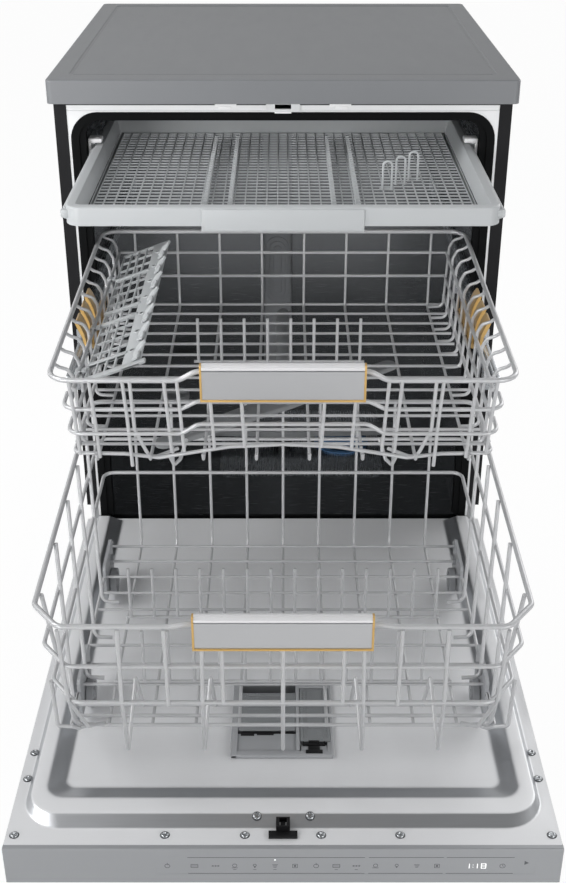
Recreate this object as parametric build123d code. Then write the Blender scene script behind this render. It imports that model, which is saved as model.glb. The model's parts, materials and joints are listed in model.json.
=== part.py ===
"""Freestanding dishwasher, with its door open and its cutlery tray and two baskets drawn out.

Millimetres, +Z up, +X to the machine's left-hand side as it faces -Y. Pieces are laid out from the
worktop's front edge (y = 0) and the floor (z = 0). Every piece is then moved by ORIGIN_SHIFT, so that
the origin is on the floor, midway between the back of the worktop and the end of the open door.
"""
import os
from math import cos, pi, sin

from build123d import *

# Whole machine
MACHINE_WIDTH = 604.0
MACHINE_HEIGHT = 845.0
WORKTOP_DEPTH = 600.0
WORKTOP_THICKNESS = 30.0
CABINET_WIDTH = 596.0
CABINET_SETBACK = 27.0
CABINET_REAR_GAP = 8.0
SHEET = 1.0
SEAT = 0.3
RUNNING = 0.06
WORKTOP_UNDERSIDE = MACHINE_HEIGHT - WORKTOP_THICKNESS
CABINET_BACK = WORKTOP_DEPTH - CABINET_REAR_GAP
CABINET_HALF = CABINET_WIDTH / 2
CABINET_TOP = WORKTOP_UNDERSIDE - SEAT

# Worktop
WORKTOP_CORNER = 12.0
WORKTOP_EDGE = 2.0
GROOVE_SIDE = 24.0
GROOVE_FRONT = 34.0
GROOVE_REAR = 20.0
GROOVE_WIDTH = 2.0
GROOVE_DEPTH = 0.8

# Side panels and rear panel
STRIP_WIDTH = 16.0
STRIP_LIP = 10.0
REAR_FLANGE = 18.0
SIDE_BOTTOM = 20.0
KICK_HEIGHT = 205.0
KICK_SETBACK = 60.0
REAR_PANEL_BOTTOM = 75.0
REAR_PANEL_HALF = 290.0
REAR_PANEL_TOP_GAP = 2.0

# Base, feet and counterweight
BASE_FLOOR_Z = 22.0
BASE_WALL = 3.0
BASE_RIM_Z = 70.0
PLINTH_THICKNESS = 2.5
PLINTH_BOTTOM = 25.0
PLINTH_TOP = 128.0
FOOT_X = 262.0
FOOT_FRONT_Y = 92.0
FOOT_REAR_INSET = 40.0
FOOT_REAR_Y = CABINET_BACK - FOOT_REAR_INSET
FOOT_RADIUS = 20.0
FOOT_PAD = 10.0
FOOT_STEM_RADIUS = 5.0
FOOT_STEM_TOP = 62.0
FOOT_BOSS_RADIUS = 12.0
FOOT_BOSS_TOP = 58.0
WEIGHT_WIDTH = 300.0
WEIGHT_DEPTH = 60.0
WEIGHT_HEIGHT = 75.0
WEIGHT_BACK_GAP = 32.0
WEIGHT_Y = CABINET_BACK - WEIGHT_BACK_GAP - WEIGHT_DEPTH / 2
SPIGOT_X = 200.0
SPIGOT_Z = 48.0
SPIGOT_RADIUS = 10.0
SPIGOT_BORE = 7.5
SPIGOT_END = WORKTOP_DEPTH - 0.5
GLAND_X = -240.0
GLAND_RADIUS = 9.0
GLAND_LENGTH = 7.0

# Door, lying open
DOOR_WIDTH = 597.0
DOOR_THICKNESS = 50.0
DOOR_TOP_GAP = 3.0
DOOR_FACE_GAP = 0.5
DOOR_TAIL = 20.0
PIVOT_Y = 5.0
PIVOT_Z = 160.0
FASCIA_THICKNESS = 6.0
FASCIA_RETURN = 14.0
FASCIA_EDGE = 1.5
DOOR_HALF = DOOR_WIDTH / 2
DOOR_END_Y = PIVOT_Y - (WORKTOP_UNDERSIDE - DOOR_TOP_GAP - PIVOT_Z)
DOOR_TAIL_Y = PIVOT_Y + DOOR_TAIL
DOOR_INNER_Z = PIVOT_Z + CABINET_SETBACK - DOOR_FACE_GAP - PIVOT_Y
DOOR_OUTER_Z = DOOR_INNER_Z - DOOR_THICKNESS
DOOR_SHELL_Y = DOOR_END_Y + FASCIA_THICKNESS
ORIGIN_SHIFT = -(WORKTOP_DEPTH + DOOR_END_Y) / 2

# Pressed ridge of the door's inner panel
RIDGE_HEIGHT = 8.5
RIDGE_FOOT_HALF = 281.0
RIDGE_TOP_HALF = 272.0
RIDGE_FOOT_END = 24.0
RIDGE_TOP_END = 46.0
POCKET_TOP_HALF = 261.0
POCKET_FLOOR_HALF = 246.0
POCKET_TOP_END = 74.0
POCKET_FLOOR_END = 98.0
RIDGE_TAIL_END = 6.0
RIDGE_CORNER = 42.0
POCKET_CORNER = 24.0

# Display, control board, latch and screws in the door
DISPLAY_LEFT = -136.0
DISPLAY_RIGHT = 270.0
DISPLAY_BOTTOM = 13.5
DISPLAY_HEIGHT = 25.0
DISPLAY_THICKNESS = 1.2
BOARD_THICKNESS = 1.6
BOARD_HEIGHT = 30.0
BOARD_STANDOFF = 5.0
LATCH_WIDTH = 31.0
LATCH_STEM = 15.0
LATCH_FOOT = 9.0
LATCH_NEAR = 39.0
LATCH_FAR = 14.5
LATCH_DEPTH = 24.0
LATCH_SLOT = 8.0
HOOK_THICKNESS = 5.0
HOOK_PIN = 1.5
SCREW_HEAD = 4.0
SCREW_HEAD_HEIGHT = 1.6
SCREW_SHANK = 1.9
SCREW_LENGTH = 12.0

# Detergent dispenser
DISPENSER_HALF = 63.0
DISPENSER_END = 139.0
DISPENSER_LENGTH = 137.0
DISPENSER_FAR = DOOR_END_Y + DISPENSER_END
DISPENSER_NEAR = DISPENSER_FAR + DISPENSER_LENGTH
DISPENSER_RIM = 5.0
DISPENSER_BODY_INSET = 4.0
DISPENSER_DEPTH = 32.0
DISPENSER_WALL = 2.0
CUP_LEFT = -52.0
CUP_RIGHT = 14.0
CUP_EDGE = 10.0
CUP_LENGTH = 66.0
CUP_FAR = DISPENSER_FAR + CUP_EDGE
CUP_NEAR = CUP_FAR + CUP_LENGTH
LID_OPENING = 34.0
LID_THICKNESS = 2.5
LID_LAP = 1.0
RINSE_LEFT = 20.0
RINSE_RIGHT = 56.0
RINSE_EDGE = 24.0
RINSE_LENGTH = 96.0
RINSE_FAR = DISPENSER_FAR + RINSE_EDGE
RINSE_NEAR = RINSE_FAR + RINSE_LENGTH
RINSE_PIN = 2.0

# Hinges
HINGE_PIN_RADIUS = 5.0
HINGE_PLATE_X = 277.0
HINGE_PLATE_THICKNESS = 3.0
HINGE_ARM_THICKNESS = 4.0
HINGE_ARM_X = 283.0
HINGE_ARM_LENGTH = 130.0
HINGE_ARM_HEIGHT = 26.0
HINGE_SLOT_HALF = 12.0

# Tub
TUB_HALF = 262.0
TUB_REAR_GAP = 27.0
TUB_BACK = CABINET_BACK - TUB_REAR_GAP
TUB_FLOOR = DOOR_INNER_Z
TUB_TOP_GAP = 24.7
TUB_CEILING = CABINET_TOP - TUB_TOP_GAP
TUB_CORNER = 24.0
CHANNEL_SIDE = 10.0
CHANNEL_TOP = 8.0
CHANNEL_DEPTH = 16.0
LIP_SETBACK = 38.0
LIP_APRON = 12.0
OPENING_BOTTOM = 186.0
GASKET_INWARD = 2.7
LIP_SEAL = 3.0
BASIN_HALF = 168.0
BASIN_FRONT = 150.0
BASIN_REAR_INSET = 85.0
BASIN_REAR = TUB_BACK - BASIN_REAR_INSET
BASIN_DEPTH = 14.0
TUB_FRONT = CABINET_SETBACK + SHEET
BASIN_FLOOR = TUB_FLOOR - BASIN_DEPTH

# Sump, filters, pumps and lower spray arm
ARM_SETBACK = 3.5
ARM_Y = (TUB_FRONT + TUB_BACK) / 2 + ARM_SETBACK
SUMP_LEFT = -70.0
SUMP_RIGHT = 170.0
SUMP_HALF_DEPTH = 85.0
SUMP_BOTTOM = 92.0
SUMP_WALL = 3.0
SUMP_CORNER = 20.0
SUMP_HOLE_INSET = 10.0
FILTER_CUP_X = 100.0
FILTER_CUP_RADIUS = 40.0
FILTER_CUP_WALL = 1.6
FILTER_CUP_BOTTOM = 110.0
FILTER_HOLE = 42.0
FILTER_FLANGE = 46.0
PLATE_LEFT = -105.0
PLATE_RIGHT = 165.0
PLATE_HALF_DEPTH = 120.0
PLATE_THICKNESS = 1.2
COLUMN_RADIUS = 16.0
COLUMN_TOP = 180.0
ARM_PIN_RADIUS = 9.0
ARM_PIN_LENGTH = 20.0
LOWER_ARM_REACH = 203.0
LOWER_ARM_BOTTOM = 190.0
LOWER_ARM_THICKNESS = 13.0
LOWER_ARM_WIDTH = 40.0
LOWER_HUB_RADIUS = 24.0
PUMP_Z = 112.0
VOLUTE_RADIUS = 42.0
VOLUTE_CAVITY = 37.0
VOLUTE_RIGHT = -85.0
VOLUTE_LEFT = -117.0
MOTOR_LEFT = -225.0
MOTOR_RADIUS = 36.0
PUMP_NECK = 14.0
PUMP_NECK_BORE = 10.0
PUMP_SHAFT = 4.0
IMPELLER_RADIUS = 33.0
IMPELLER_BLADES = 6
DRAIN_RADIUS = 26.0
DRAIN_LENGTH = 80.0
DRAIN_SPIGOT = 9.0

# Softener, salt cap and inlet valve
SALT_X = -195.0
SALT_INSET = 40.0
SALT_Y = BASIN_REAR - SALT_INSET
SALT_NECK = 22.0
SALT_BORE = 18.0
SALT_CAP_RADIUS = 25.0
SALT_CAP_HEIGHT = 10.0
SOFTENER_LEFT = -240.0
SOFTENER_RIGHT = -135.0
SOFTENER_HALF_DEPTH = 46.0
SOFTENER_BOTTOM = 40.0
SOFTENER_TOP = 150.0
INLET_X = -190.0
INLET_Z = 110.0
INLET_THREAD = 13.22
INLET_BORE = 9.0
VALVE_HALF = 26.0
VALVE_NEAR = 52.0
VALVE_FAR = 8.0
VALVE_EDGE = 6.0
COIL_RADIUS = 15.0
COIL_HEIGHT = 25.0
INLET_END = WORKTOP_DEPTH - 0.5

# Feed duct and ceiling spray arm
DUCT_LEFT = -36.0
DUCT_RIGHT = 16.0
DUCT_DEPTH = 16.0
DUCT_WALL = 2.0
BRANCH_HALF = 20.0
BRANCH_HEIGHT = 9.0
PORT_RADIUS = 13.0
PORT_BORE = 9.0
PORT_LENGTH = 9.0
TOP_PIN_RADIUS = 5.0
TOP_CAP_RADIUS = 8.0
TOP_CAP_HEIGHT = 3.0
TOP_ARM_REACH = 150.0
TOP_ARM_THICKNESS = 9.0
TOP_ARM_WIDTH = 26.0
STRIKE_HALF = 22.0
STRIKE_THICKNESS = 3.2
STRIKE_HEIGHT = 13.5
STRIKE_TOP_GAP = 1.7
STRIKE_TOP = CABINET_TOP - STRIKE_TOP_GAP
STRIKE_BOTTOM = STRIKE_TOP - STRIKE_HEIGHT
CROSSBAR_BOTTOM = STRIKE_BOTTOM + SHEET
STRIKE_SLOT_HALF = 10.5
STRIKE_SLOT_HEIGHT = 6.0
STRIKE_MARGIN = 3.5
LOCK_HOLE_EXTRA = 2.0

# Wire baskets
RIM_WIRE = 3.0
WALL_WIRE = 2.4
UPRIGHT_STEP = 2.0
FLOOR_WIRE = 1.9
TINE_WIRE = 2.0
WELD = 0.5
PANEL_GAP = 0.4
KNOT = 0.25
EYE_HALF = 2.5
EYE_WALL = 2.2

# Lower basket
LOWER_FRONT = -600.0
LOWER_BACK = -118.0
LOWER_REAR_GAP = 28.0
LOWER_TRAVEL = TUB_BACK - LOWER_REAR_GAP - LOWER_BACK
LOWER_RIM_Z = 437.0
LOWER_RIM_RISE = 12.0
LOWER_RIM_HALF = 255.0
LOWER_FLOOR_Z = 228.0
LOWER_FLOOR_HALF = 224.0
LOWER_CHAMFER_X = 29.0
LOWER_CHAMFER_Y = 38.0
LOWER_TIER_Z = (LOWER_RIM_Z, 385.0, 336.0)
LOWER_TIER_IN = (0.0, 5.0, 10.0)
LOWER_FLOOR_FRONT = -516.0
LOWER_FLOOR_BACK = -140.0
LOWER_PRONG_X = (-168.0, -87.0, 0.0, 86.0, 173.0)
LOWER_PRONG_TIP_Z = 236.0
LOWER_PRONG_TIP_Y = -556.0
HANDLE_HALF = 92.0
HANDLE_HEIGHT = 40.0
HANDLE_DEPTH = 8.0
HANDLE_ROUND = 3.5
TRIM_WIDTH = 2.0
TRIM_DEPTH = 7.0
WHEEL_RADIUS = 18.0
WHEEL_WIDTH = 9.0
WHEEL_X = 233.5
WHEEL_PIN = 4.0
WHEEL_FRONT_Y = -410.0
WHEEL_REAR_Y = -170.0
WHEEL_LIFT = 0.35
CARRIER_X = 239.0
CARRIER_THICKNESS = 4.0
CARRIER_HALF_LENGTH = 38.0
CARRIER_TOP = 246.0
CARRIER_LUG_STEP = 12.0
CARRIER_LUG_HALF = 8.0
LOWER_TINE_HEIGHT = 72.0
LOWER_TINE_FRONT_Y = -430.0
LOWER_TINE_REAR_Y = -300.0
LOWER_TINE_COUNT = 14
LOWER_TINE_SPAN = 390.0
LOWER_EYES = (-140.0, 0.0, 140.0)
LOWER_FOOT_OUT = 8.0

# Middle basket and its telescopic rails
MIDDLE_FRONT = -389.0
MIDDLE_BACK = 88.0
MIDDLE_REAR_GAP = 32.0
MIDDLE_TRAVEL = TUB_BACK - MIDDLE_REAR_GAP - MIDDLE_BACK
MIDDLE_RIM_Z = 609.0
MIDDLE_RIM_RISE = 8.0
MIDDLE_HANDLE_RISE = 11.0
MIDDLE_RIM_HALF = 255.5
MIDDLE_CORNER = 26.0
MIDDLE_WALL_HALF = 233.0
MIDDLE_TIER_Z = (MIDDLE_RIM_Z, 574.6, 542.5)
MIDDLE_SIDE_Z = (585.0, 550.0, 520.0)
MIDDLE_FLOOR_Z = 506.0
MIDDLE_SPREAD = 210.0
MIDDLE_PITCH = 60.0
FINGER_PITCH = 42.0
RAIL_Z = 564.0
RAIL_HEIGHT = 24.0
RAIL_WEB = 1.6
RAIL_DEPTH = 8.0
RAIL_FRONT = 50.0
RAIL_REAR_GAP = 45.0
RAIL_REAR = TUB_BACK - RAIL_REAR_GAP
SLIDE_THICKNESS = 5.2
SLIDE_HEIGHT = 19.0
SLIDE_CLEAR = 0.4
GASKET_CLEAR = 0.4
SLIDE_SHORTER = 30.0
SLIDE_LENGTH = RAIL_REAR - RAIL_FRONT - SLIDE_SHORTER
SLIDE_IN_FRONT = 60.0
MEMBER_THICKNESS = 3.2
MEMBER_HEIGHT = 14.0
MEMBER_FRONT = -365.0
MEMBER_REAR = 65.0
POST_WIDTH = 12.0
POST_FRONT_Y = -172.0
POST_REAR_Y = -36.0
LEVER_THICKNESS = 3.0
LEVER_BOTTOM = 548.0
LEVER_TOP = 582.0
LEVER_PIN = 1.5
FEED_TUBE_RADIUS = 9.5
FEED_TUBE_BORE = 7.5
FEED_Z = 489.0
MIDDLE_ARM_Y = -150.0
MIDDLE_ARM_REACH = 196.0
MIDDLE_ARM_THICKNESS = 11.0
MIDDLE_ARM_WIDTH = 36.0
MIDDLE_ARM_TOP = 473.0
MIDDLE_ARM_ANGLE = 38.0
MIDDLE_PIN_RADIUS = 7.0
SHELF_WIDTH = 58.0
SHELF_FRONT = -345.0
SHELF_REAR = 70.0
SHELF_TILT = 14.0
SHELF_THICKNESS = 3.0
SHELF_BAR = 3.0
SHELF_CELLS_LONG = 18
SHELF_CELLS_WIDE = 3
SHELF_LUG = 4.6
SHELF_STANDOFF = 4.0
SHELF_LUG_WIDTH = 10.0
SHELF_TEETH = 17
MIDDLE_TINE_Y = -120.0
MIDDLE_TINE_LEFT = -110.0
MIDDLE_TINE_RIGHT = 100.0
MIDDLE_TINE_COUNT = 8
MIDDLE_TINE_HEIGHT = 58.0
MIDDLE_EYES = (-90.0, 30.0, 90.0)

# Cutlery tray
TRAY_FRONT = -236.0
TRAY_BACK = 194.0
TRAY_HALF = 248.0
TRAY_TOP_GAP = 36.5
TRAY_TOP = TUB_CEILING - TRAY_TOP_GAP
TRAY_HEIGHT = 22.0
TRAY_RIM = 17.0
TRAY_CORNER = 30.0
TRAY_GRIP_HALF = 93.0
TRAY_GRIP_DROP = 6.0
TRAY_GRIP_PROUD = 2.0
TRAY_SHOE_LENGTH = 46.0
TRAY_SHOE_INSETS = (30.0, 122.0)
GRID_THICKNESS = 1.6
GRID_BAR = 1.8
GRID_ACROSS = 17
GRID_ALONG = 15
COMB_X = (-92.0, -62.5, 60.0, 88.5)
COMB_FRONT = -214.0
COMB_REAR = 120.0
COMB_WIDTH = 6.0
COMB_HEIGHT = 12.0
COMB_TOOTH = 7.0
COMB_TEETH = 24
HAIRPIN_X = (128.0, 146.0, 164.0)
HAIRPIN_Y = (-104.0, -82.0, -60.0)
HAIRPIN_HEIGHT = 36.0
HAIRPIN_WIDTH = 11.0
TRAY_RAIL_WEB = 1.5
TRAY_RAIL_FRONT = 46.0
TRAY_RAIL_GAP = 65.0
TRAY_RAIL_REAR = TUB_BACK - TRAY_RAIL_GAP
TRAY_STOP = 20.0
TRAY_TRAVEL = TRAY_RAIL_REAR - TRAY_STOP - TRAY_BACK
TRAY_RAIL_DEPTH = 12.0
SHOE_CLEAR = 0.5


SMALL = 0.01


def span(x, y, z):
    """Box between two x, two y and two z values."""
    size = (x[1] - x[0], y[1] - y[0], z[1] - z[0])
    middle = ((x[0] + x[1]) / 2, (y[0] + y[1]) / 2, (z[0] + z[1]) / 2)
    return Pos(*middle) * Box(*size)


def both(x_near, x_far, y, z):
    """The same box on the left and on the right of the machine."""
    return [span((x_near, x_far), y, z), span((-x_far, -x_near), y, z)]


def mirrored(shape):
    """The shape's copy on the other side of the machine."""
    return mirror(shape, about=Plane.YZ)


def rod(start, end, radius):
    """Straight round bar between two points."""
    start = Vector(*start)
    end = Vector(*end)
    axis = end - start
    place = Plane(origin=start, z_dir=axis.normalized())
    return place * Cylinder(radius, axis.length, align=(Align.CENTER, Align.CENTER, Align.MIN))


def wire(points, radius, bend=6.0):
    """Round wire along a polyline with rounded bends."""
    if len(points) == 2:
        return rod(points[0], points[1], radius)
    path = FilletPolyline(*points, radius=bend)
    start = Plane(origin=path @ 0, z_dir=path % 0)
    return sweep(start * Circle(radius), path=path)


def knot(point, radius):
    """Small ball that joins two wires at a bend."""
    return Pos(*point) * Sphere(radius + KNOT)


def weld(pieces):
    """One solid out of pieces that cut into each other."""
    return Part() + pieces


def arch(half, bottom, top, radius):
    """Upright face in the XZ plane: a rectangle with its two upper corners rounded."""
    face = Plane.XZ * Pos(0, (bottom + top) / 2) * Rectangle(2 * half, top - bottom)
    return fillet(face.vertices().group_by(Axis.Z)[-1], radius)


def prism(face, y_start, y_end):
    """An upright face drawn out from y_start to y_end."""
    return extrude(Pos(0, y_start, 0) * face, amount=y_end - y_start, dir=(0, 1, 0))


def flat_plate(x, y, z, corner):
    """Level plate with rounded corners between two z values."""
    outline = RectangleRounded(x[1] - x[0], y[1] - y[0], corner)
    return Pos((x[0] + x[1]) / 2, (y[0] + y[1]) / 2, z[0]) * extrude(outline, amount=z[1] - z[0])


def upright_cylinder(x, y, z, radius):
    """Cylinder on a vertical axis between two z values."""
    return rod((x, y, z[0]), (x, y, z[1]), radius)


# Cabinet


def worktop():
    half = MACHINE_WIDTH / 2
    board = flat_plate((-half, half), (0, WORKTOP_DEPTH), (WORKTOP_UNDERSIDE, MACHINE_HEIGHT), WORKTOP_CORNER)
    board = fillet(board.faces().sort_by(Axis.Z)[-1].edges(), WORKTOP_EDGE)
    x = half - GROOVE_SIDE
    y = (GROOVE_FRONT, WORKTOP_DEPTH - GROOVE_REAR)
    z = (MACHINE_HEIGHT - GROOVE_DEPTH, MACHINE_HEIGHT + 1)
    groove = span((-x, x), y, z)
    inner = x - GROOVE_WIDTH
    groove -= span((-inner, inner), (y[0] + GROOVE_WIDTH, y[1] - GROOVE_WIDTH), z)
    return board - groove


def side_panel(side):
    outer = CABINET_HALF
    inner = outer - SHEET
    strip = outer - STRIP_WIDTH
    front = CABINET_SETBACK
    upper = (KICK_HEIGHT, CABINET_TOP)
    full = (SIDE_BOTTOM, CABINET_TOP)
    skin = span((inner, outer), (front, CABINET_BACK), full)
    skin -= span((inner - 1, outer + 1), (front - 1, KICK_SETBACK), (SIDE_BOTTOM - 1, KICK_HEIGHT))
    panel = weld([
        skin,
        span((strip, outer), (front, front + SHEET), upper),
        span((strip, strip + SHEET), (front, front + STRIP_LIP), upper),
        span((strip, outer), (KICK_SETBACK, KICK_SETBACK + SHEET), (SIDE_BOTTOM, KICK_HEIGHT)),
        span((outer - REAR_FLANGE, outer), (CABINET_BACK - SHEET, CABINET_BACK), full),
    ])
    return panel if side > 0 else mirrored(panel)


def rear_panel():
    back = CABINET_BACK - SHEET - SEAT
    z = (REAR_PANEL_BOTTOM, CABINET_TOP - REAR_PANEL_TOP_GAP)
    sheet = span((-REAR_PANEL_HALF, REAR_PANEL_HALF), (back - SHEET, back), z)
    hole = rod((INLET_X, back - 5, INLET_Z), (INLET_X, back + 5, INLET_Z), INLET_THREAD + 1.5)
    return sheet - hole


def base_pan():
    half = CABINET_HALF - SHEET - SEAT
    front = KICK_SETBACK + SHEET + SEAT
    back = CABINET_BACK - 2 * SHEET - 2 * SEAT
    pan = span((-half, half), (front, back), (BASE_FLOOR_Z, BASE_RIM_Z))
    inner = half - BASE_WALL
    pan -= span((-inner, inner), (front + BASE_WALL, back - BASE_WALL), (BASE_FLOOR_Z + BASE_WALL, BASE_RIM_Z + 1))
    bosses = []
    bores = []
    for x, y in foot_places():
        bosses.append(upright_cylinder(x, y, (BASE_FLOOR_Z, FOOT_BOSS_TOP), FOOT_BOSS_RADIUS))
        bores.append(upright_cylinder(x, y, (BASE_FLOOR_Z - 1, FOOT_BOSS_TOP + 1), FOOT_STEM_RADIUS + RUNNING))
    spigot = rod((SPIGOT_X, back - 1, SPIGOT_Z), (SPIGOT_X, SPIGOT_END, SPIGOT_Z), SPIGOT_RADIUS)
    gland = rod((GLAND_X, back - 1, SPIGOT_Z), (GLAND_X, back + GLAND_LENGTH, SPIGOT_Z), GLAND_RADIUS)
    bores.append(rod((SPIGOT_X, back - BASE_WALL - 1, SPIGOT_Z), (SPIGOT_X, SPIGOT_END + 1, SPIGOT_Z), SPIGOT_BORE))
    return weld([pan, *bosses, spigot, gland]) - bores


def foot_places():
    """Plan positions of the four levelling feet."""
    return [(x, y) for x in (-FOOT_X, FOOT_X) for y in (FOOT_FRONT_Y, FOOT_REAR_Y)]


def levelling_feet():
    feet = []
    for x, y in foot_places():
        pad = upright_cylinder(x, y, (0, FOOT_PAD), FOOT_RADIUS)
        pad = chamfer(pad.faces().sort_by(Axis.Z)[-1].edges(), 3)
        nut = Pos(x, y, FOOT_PAD - 1) * extrude(RegularPolygon(FOOT_STEM_RADIUS + 3.5, 6), amount=6)
        stem = upright_cylinder(x, y, (FOOT_PAD - 1, FOOT_STEM_TOP), FOOT_STEM_RADIUS)
        feet.append(weld([pad, nut, stem]))
    return feet


def plinth():
    half = CABINET_HALF - 2
    back = KICK_SETBACK - SEAT
    plate = span((-half, half), (back - PLINTH_THICKNESS, back), (PLINTH_BOTTOM, PLINTH_TOP))
    return fillet(plate.edges().filter_by(Axis.X).group_by(Axis.Y)[0], 1)


def counterweight():
    half = WEIGHT_WIDTH / 2
    bottom = BASE_FLOOR_Z + BASE_WALL + SEAT
    block = flat_plate(
        (-half, half),
        (WEIGHT_Y - WEIGHT_DEPTH / 2, WEIGHT_Y + WEIGHT_DEPTH / 2),
        (bottom, bottom + WEIGHT_HEIGHT),
        8,
    )
    return chamfer(block.faces().sort_by(Axis.Z)[-1].edges(), 3)


# Tub


def tub():
    outer = TUB_HALF + SHEET
    floor = TUB_FLOOR - SHEET
    channel = TUB_HALF + CHANNEL_SIDE
    channel_top = TUB_CEILING + CHANNEL_TOP
    channel_corner = TUB_CORNER + CHANNEL_TOP
    step = TUB_FRONT + CHANNEL_DEPTH
    flange = CABINET_HALF - STRIP_WIDTH - SEAT
    shell = prism(arch(outer, floor, TUB_CEILING + SHEET, TUB_CORNER + SHEET), step, TUB_BACK + SHEET)
    trough = prism(
        arch(channel + SHEET, floor, channel_top + SHEET, channel_corner + SHEET), TUB_FRONT, step + SHEET
    )
    collar = span((-flange, flange), (TUB_FRONT, TUB_FRONT + SHEET), (OPENING_BOTTOM, CROSSBAR_BOTTOM - SEAT))
    basin = span((-BASIN_HALF - SHEET, BASIN_HALF + SHEET), (BASIN_FRONT - SHEET, BASIN_REAR + SHEET),
                 (BASIN_FLOOR - SHEET, TUB_FLOOR))
    body = weld([shell, trough, collar, basin])
    body -= prism(arch(channel, TUB_FLOOR, channel_top, channel_corner), TUB_FRONT - 1, step)
    body -= prism(arch(TUB_HALF, TUB_FLOOR, TUB_CEILING, TUB_CORNER), TUB_FRONT, TUB_BACK)
    body -= span((-BASIN_HALF, BASIN_HALF), (BASIN_FRONT, BASIN_REAR), (BASIN_FLOOR, TUB_FLOOR + 1))
    body -= span((-CABINET_HALF, CABINET_HALF), (TUB_FRONT - 1, LIP_SETBACK), (floor - 1, OPENING_BOTTOM))
    sump_hole = flat_plate(
        (SUMP_LEFT + SUMP_HOLE_INSET, SUMP_RIGHT - SUMP_HOLE_INSET),
        (ARM_Y - SUMP_HALF_DEPTH + SUMP_HOLE_INSET, ARM_Y + SUMP_HALF_DEPTH - SUMP_HOLE_INSET),
        (BASIN_FLOOR - 5, BASIN_FLOOR + 1),
        SUMP_CORNER,
    )
    body -= sump_hole
    body -= upright_cylinder(SALT_X, SALT_Y, (floor - 1, TUB_FLOOR + 1), SALT_NECK + SEAT)
    apron = span((-TUB_HALF, TUB_HALF), (LIP_SETBACK, LIP_SETBACK + SHEET), (TUB_FLOOR - LIP_APRON, TUB_FLOOR))
    return body + apron


def tub_gasket():
    inner = TUB_HALF - GASKET_INWARD
    outer = TUB_HALF + CHANNEL_SIDE - SEAT
    top = TUB_CEILING + CHANNEL_TOP - SEAT
    y = (TUB_FRONT + SHEET, TUB_FRONT + CHANNEL_DEPTH - SEAT)
    bottom = OPENING_BOTTOM + SEAT
    ring = prism(arch(outer, bottom, top, TUB_CORNER + CHANNEL_TOP - SEAT), *y)
    ring -= prism(arch(inner, bottom - 1, TUB_CEILING - GASKET_INWARD, TUB_CORNER - GASKET_INWARD), y[0] - 1, y[1] + 1)
    lip_back = LIP_SETBACK - SEAT
    lip = span((-TUB_HALF, TUB_HALF), (lip_back - LIP_SEAL, lip_back), (TUB_FLOOR - LIP_APRON, TUB_FLOOR - SHEET))
    return [ring, lip]


def strike_slot_z():
    """Bottom and top of the striker's slot and of the hole behind it."""
    return (STRIKE_BOTTOM + STRIKE_MARGIN, STRIKE_BOTTOM + STRIKE_MARGIN + STRIKE_SLOT_HEIGHT)


def door_strike():
    y = (TUB_FRONT - SEAT - STRIKE_THICKNESS, TUB_FRONT - SEAT)
    plate = span((-STRIKE_HALF, STRIKE_HALF), y, (STRIKE_BOTTOM, STRIKE_TOP))
    plate = fillet(plate.edges().filter_by(Axis.Y), 2)
    slot = span((-STRIKE_SLOT_HALF, STRIKE_SLOT_HALF), (y[0] - 1, y[1] + 1), strike_slot_z())
    flange = CABINET_HALF - STRIP_WIDTH - SEAT
    bar_y = (TUB_FRONT, TUB_FRONT + SHEET)
    crossbar = span((-flange, flange), bar_y, (CROSSBAR_BOTTOM, CABINET_TOP))
    hole_half = STRIKE_SLOT_HALF + LOCK_HOLE_EXTRA
    crossbar -= span((-hole_half, hole_half), (bar_y[0] - 1, bar_y[1] + 1), strike_slot_z())
    return [plate - slot, crossbar]


def feed_duct():
    back = TUB_BACK - SEAT
    front = back - DUCT_DEPTH
    top = TUB_CEILING - SEAT
    bottom = TUB_FLOOR + SEAT
    branch_bottom = top - BRANCH_HEIGHT
    duct = span((DUCT_LEFT, DUCT_RIGHT), (front, back), (bottom, top))
    duct = fillet(duct.edges().filter_by(Axis.Z).group_by(Axis.Y)[0], 5)
    inner_z = (bottom - 1, branch_bottom - DUCT_WALL)
    duct -= span((DUCT_LEFT + DUCT_WALL, DUCT_RIGHT - DUCT_WALL), (front + DUCT_WALL, back - DUCT_WALL), inner_z)
    branch = span((-BRANCH_HALF, BRANCH_HALF), (ARM_Y - BRANCH_HALF, front + 1), (branch_bottom, top))
    branch = fillet(branch.edges().filter_by(Axis.Z).group_by(Axis.Y)[0], 12)
    port = rod((0, front - PORT_LENGTH, FEED_Z), (0, front + 1, FEED_Z), PORT_RADIUS)
    bore = rod((0, front - PORT_LENGTH - 1, FEED_Z), (0, front + DUCT_WALL + 1, FEED_Z), PORT_BORE)
    cap_bottom = top_arm_bottom() - TOP_CAP_HEIGHT - SEAT
    pin = upright_cylinder(0, ARM_Y, (cap_bottom, branch_bottom + 1), TOP_PIN_RADIUS)
    cap = upright_cylinder(0, ARM_Y, (cap_bottom, cap_bottom + TOP_CAP_HEIGHT), TOP_CAP_RADIUS)
    return weld([duct, branch, port, pin, cap]) - bore


def top_arm_bottom():
    """Underside of the ceiling spray arm, which hangs just below the feed duct's branch."""
    return TUB_CEILING - SEAT - BRANCH_HEIGHT - SEAT - TOP_ARM_THICKNESS


def spray_blade(reach, width, thickness, bottom):
    """Flat two-ended spray arm along X with round ends, a crown and a row of jets."""
    outline = SlotOverall(2 * reach, width)
    blade = Pos(0, 0, bottom) * extrude(outline, amount=thickness)
    return chamfer(blade.faces().sort_by(Axis.Z)[-1].edges(), thickness * 0.3)


def jets(reach, width, top, count):
    """Jet slots through the top of a spray arm, on alternating sides."""
    slots = []
    for number in range(count):
        along = reach * (0.3 + 0.62 * number / (count - 1))
        for side in (-1, 1):
            place = Pos(side * along, side * width * 0.12, top - 2)
            slots.append(place * Box(7, 1.6, 6))
    return slots


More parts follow.
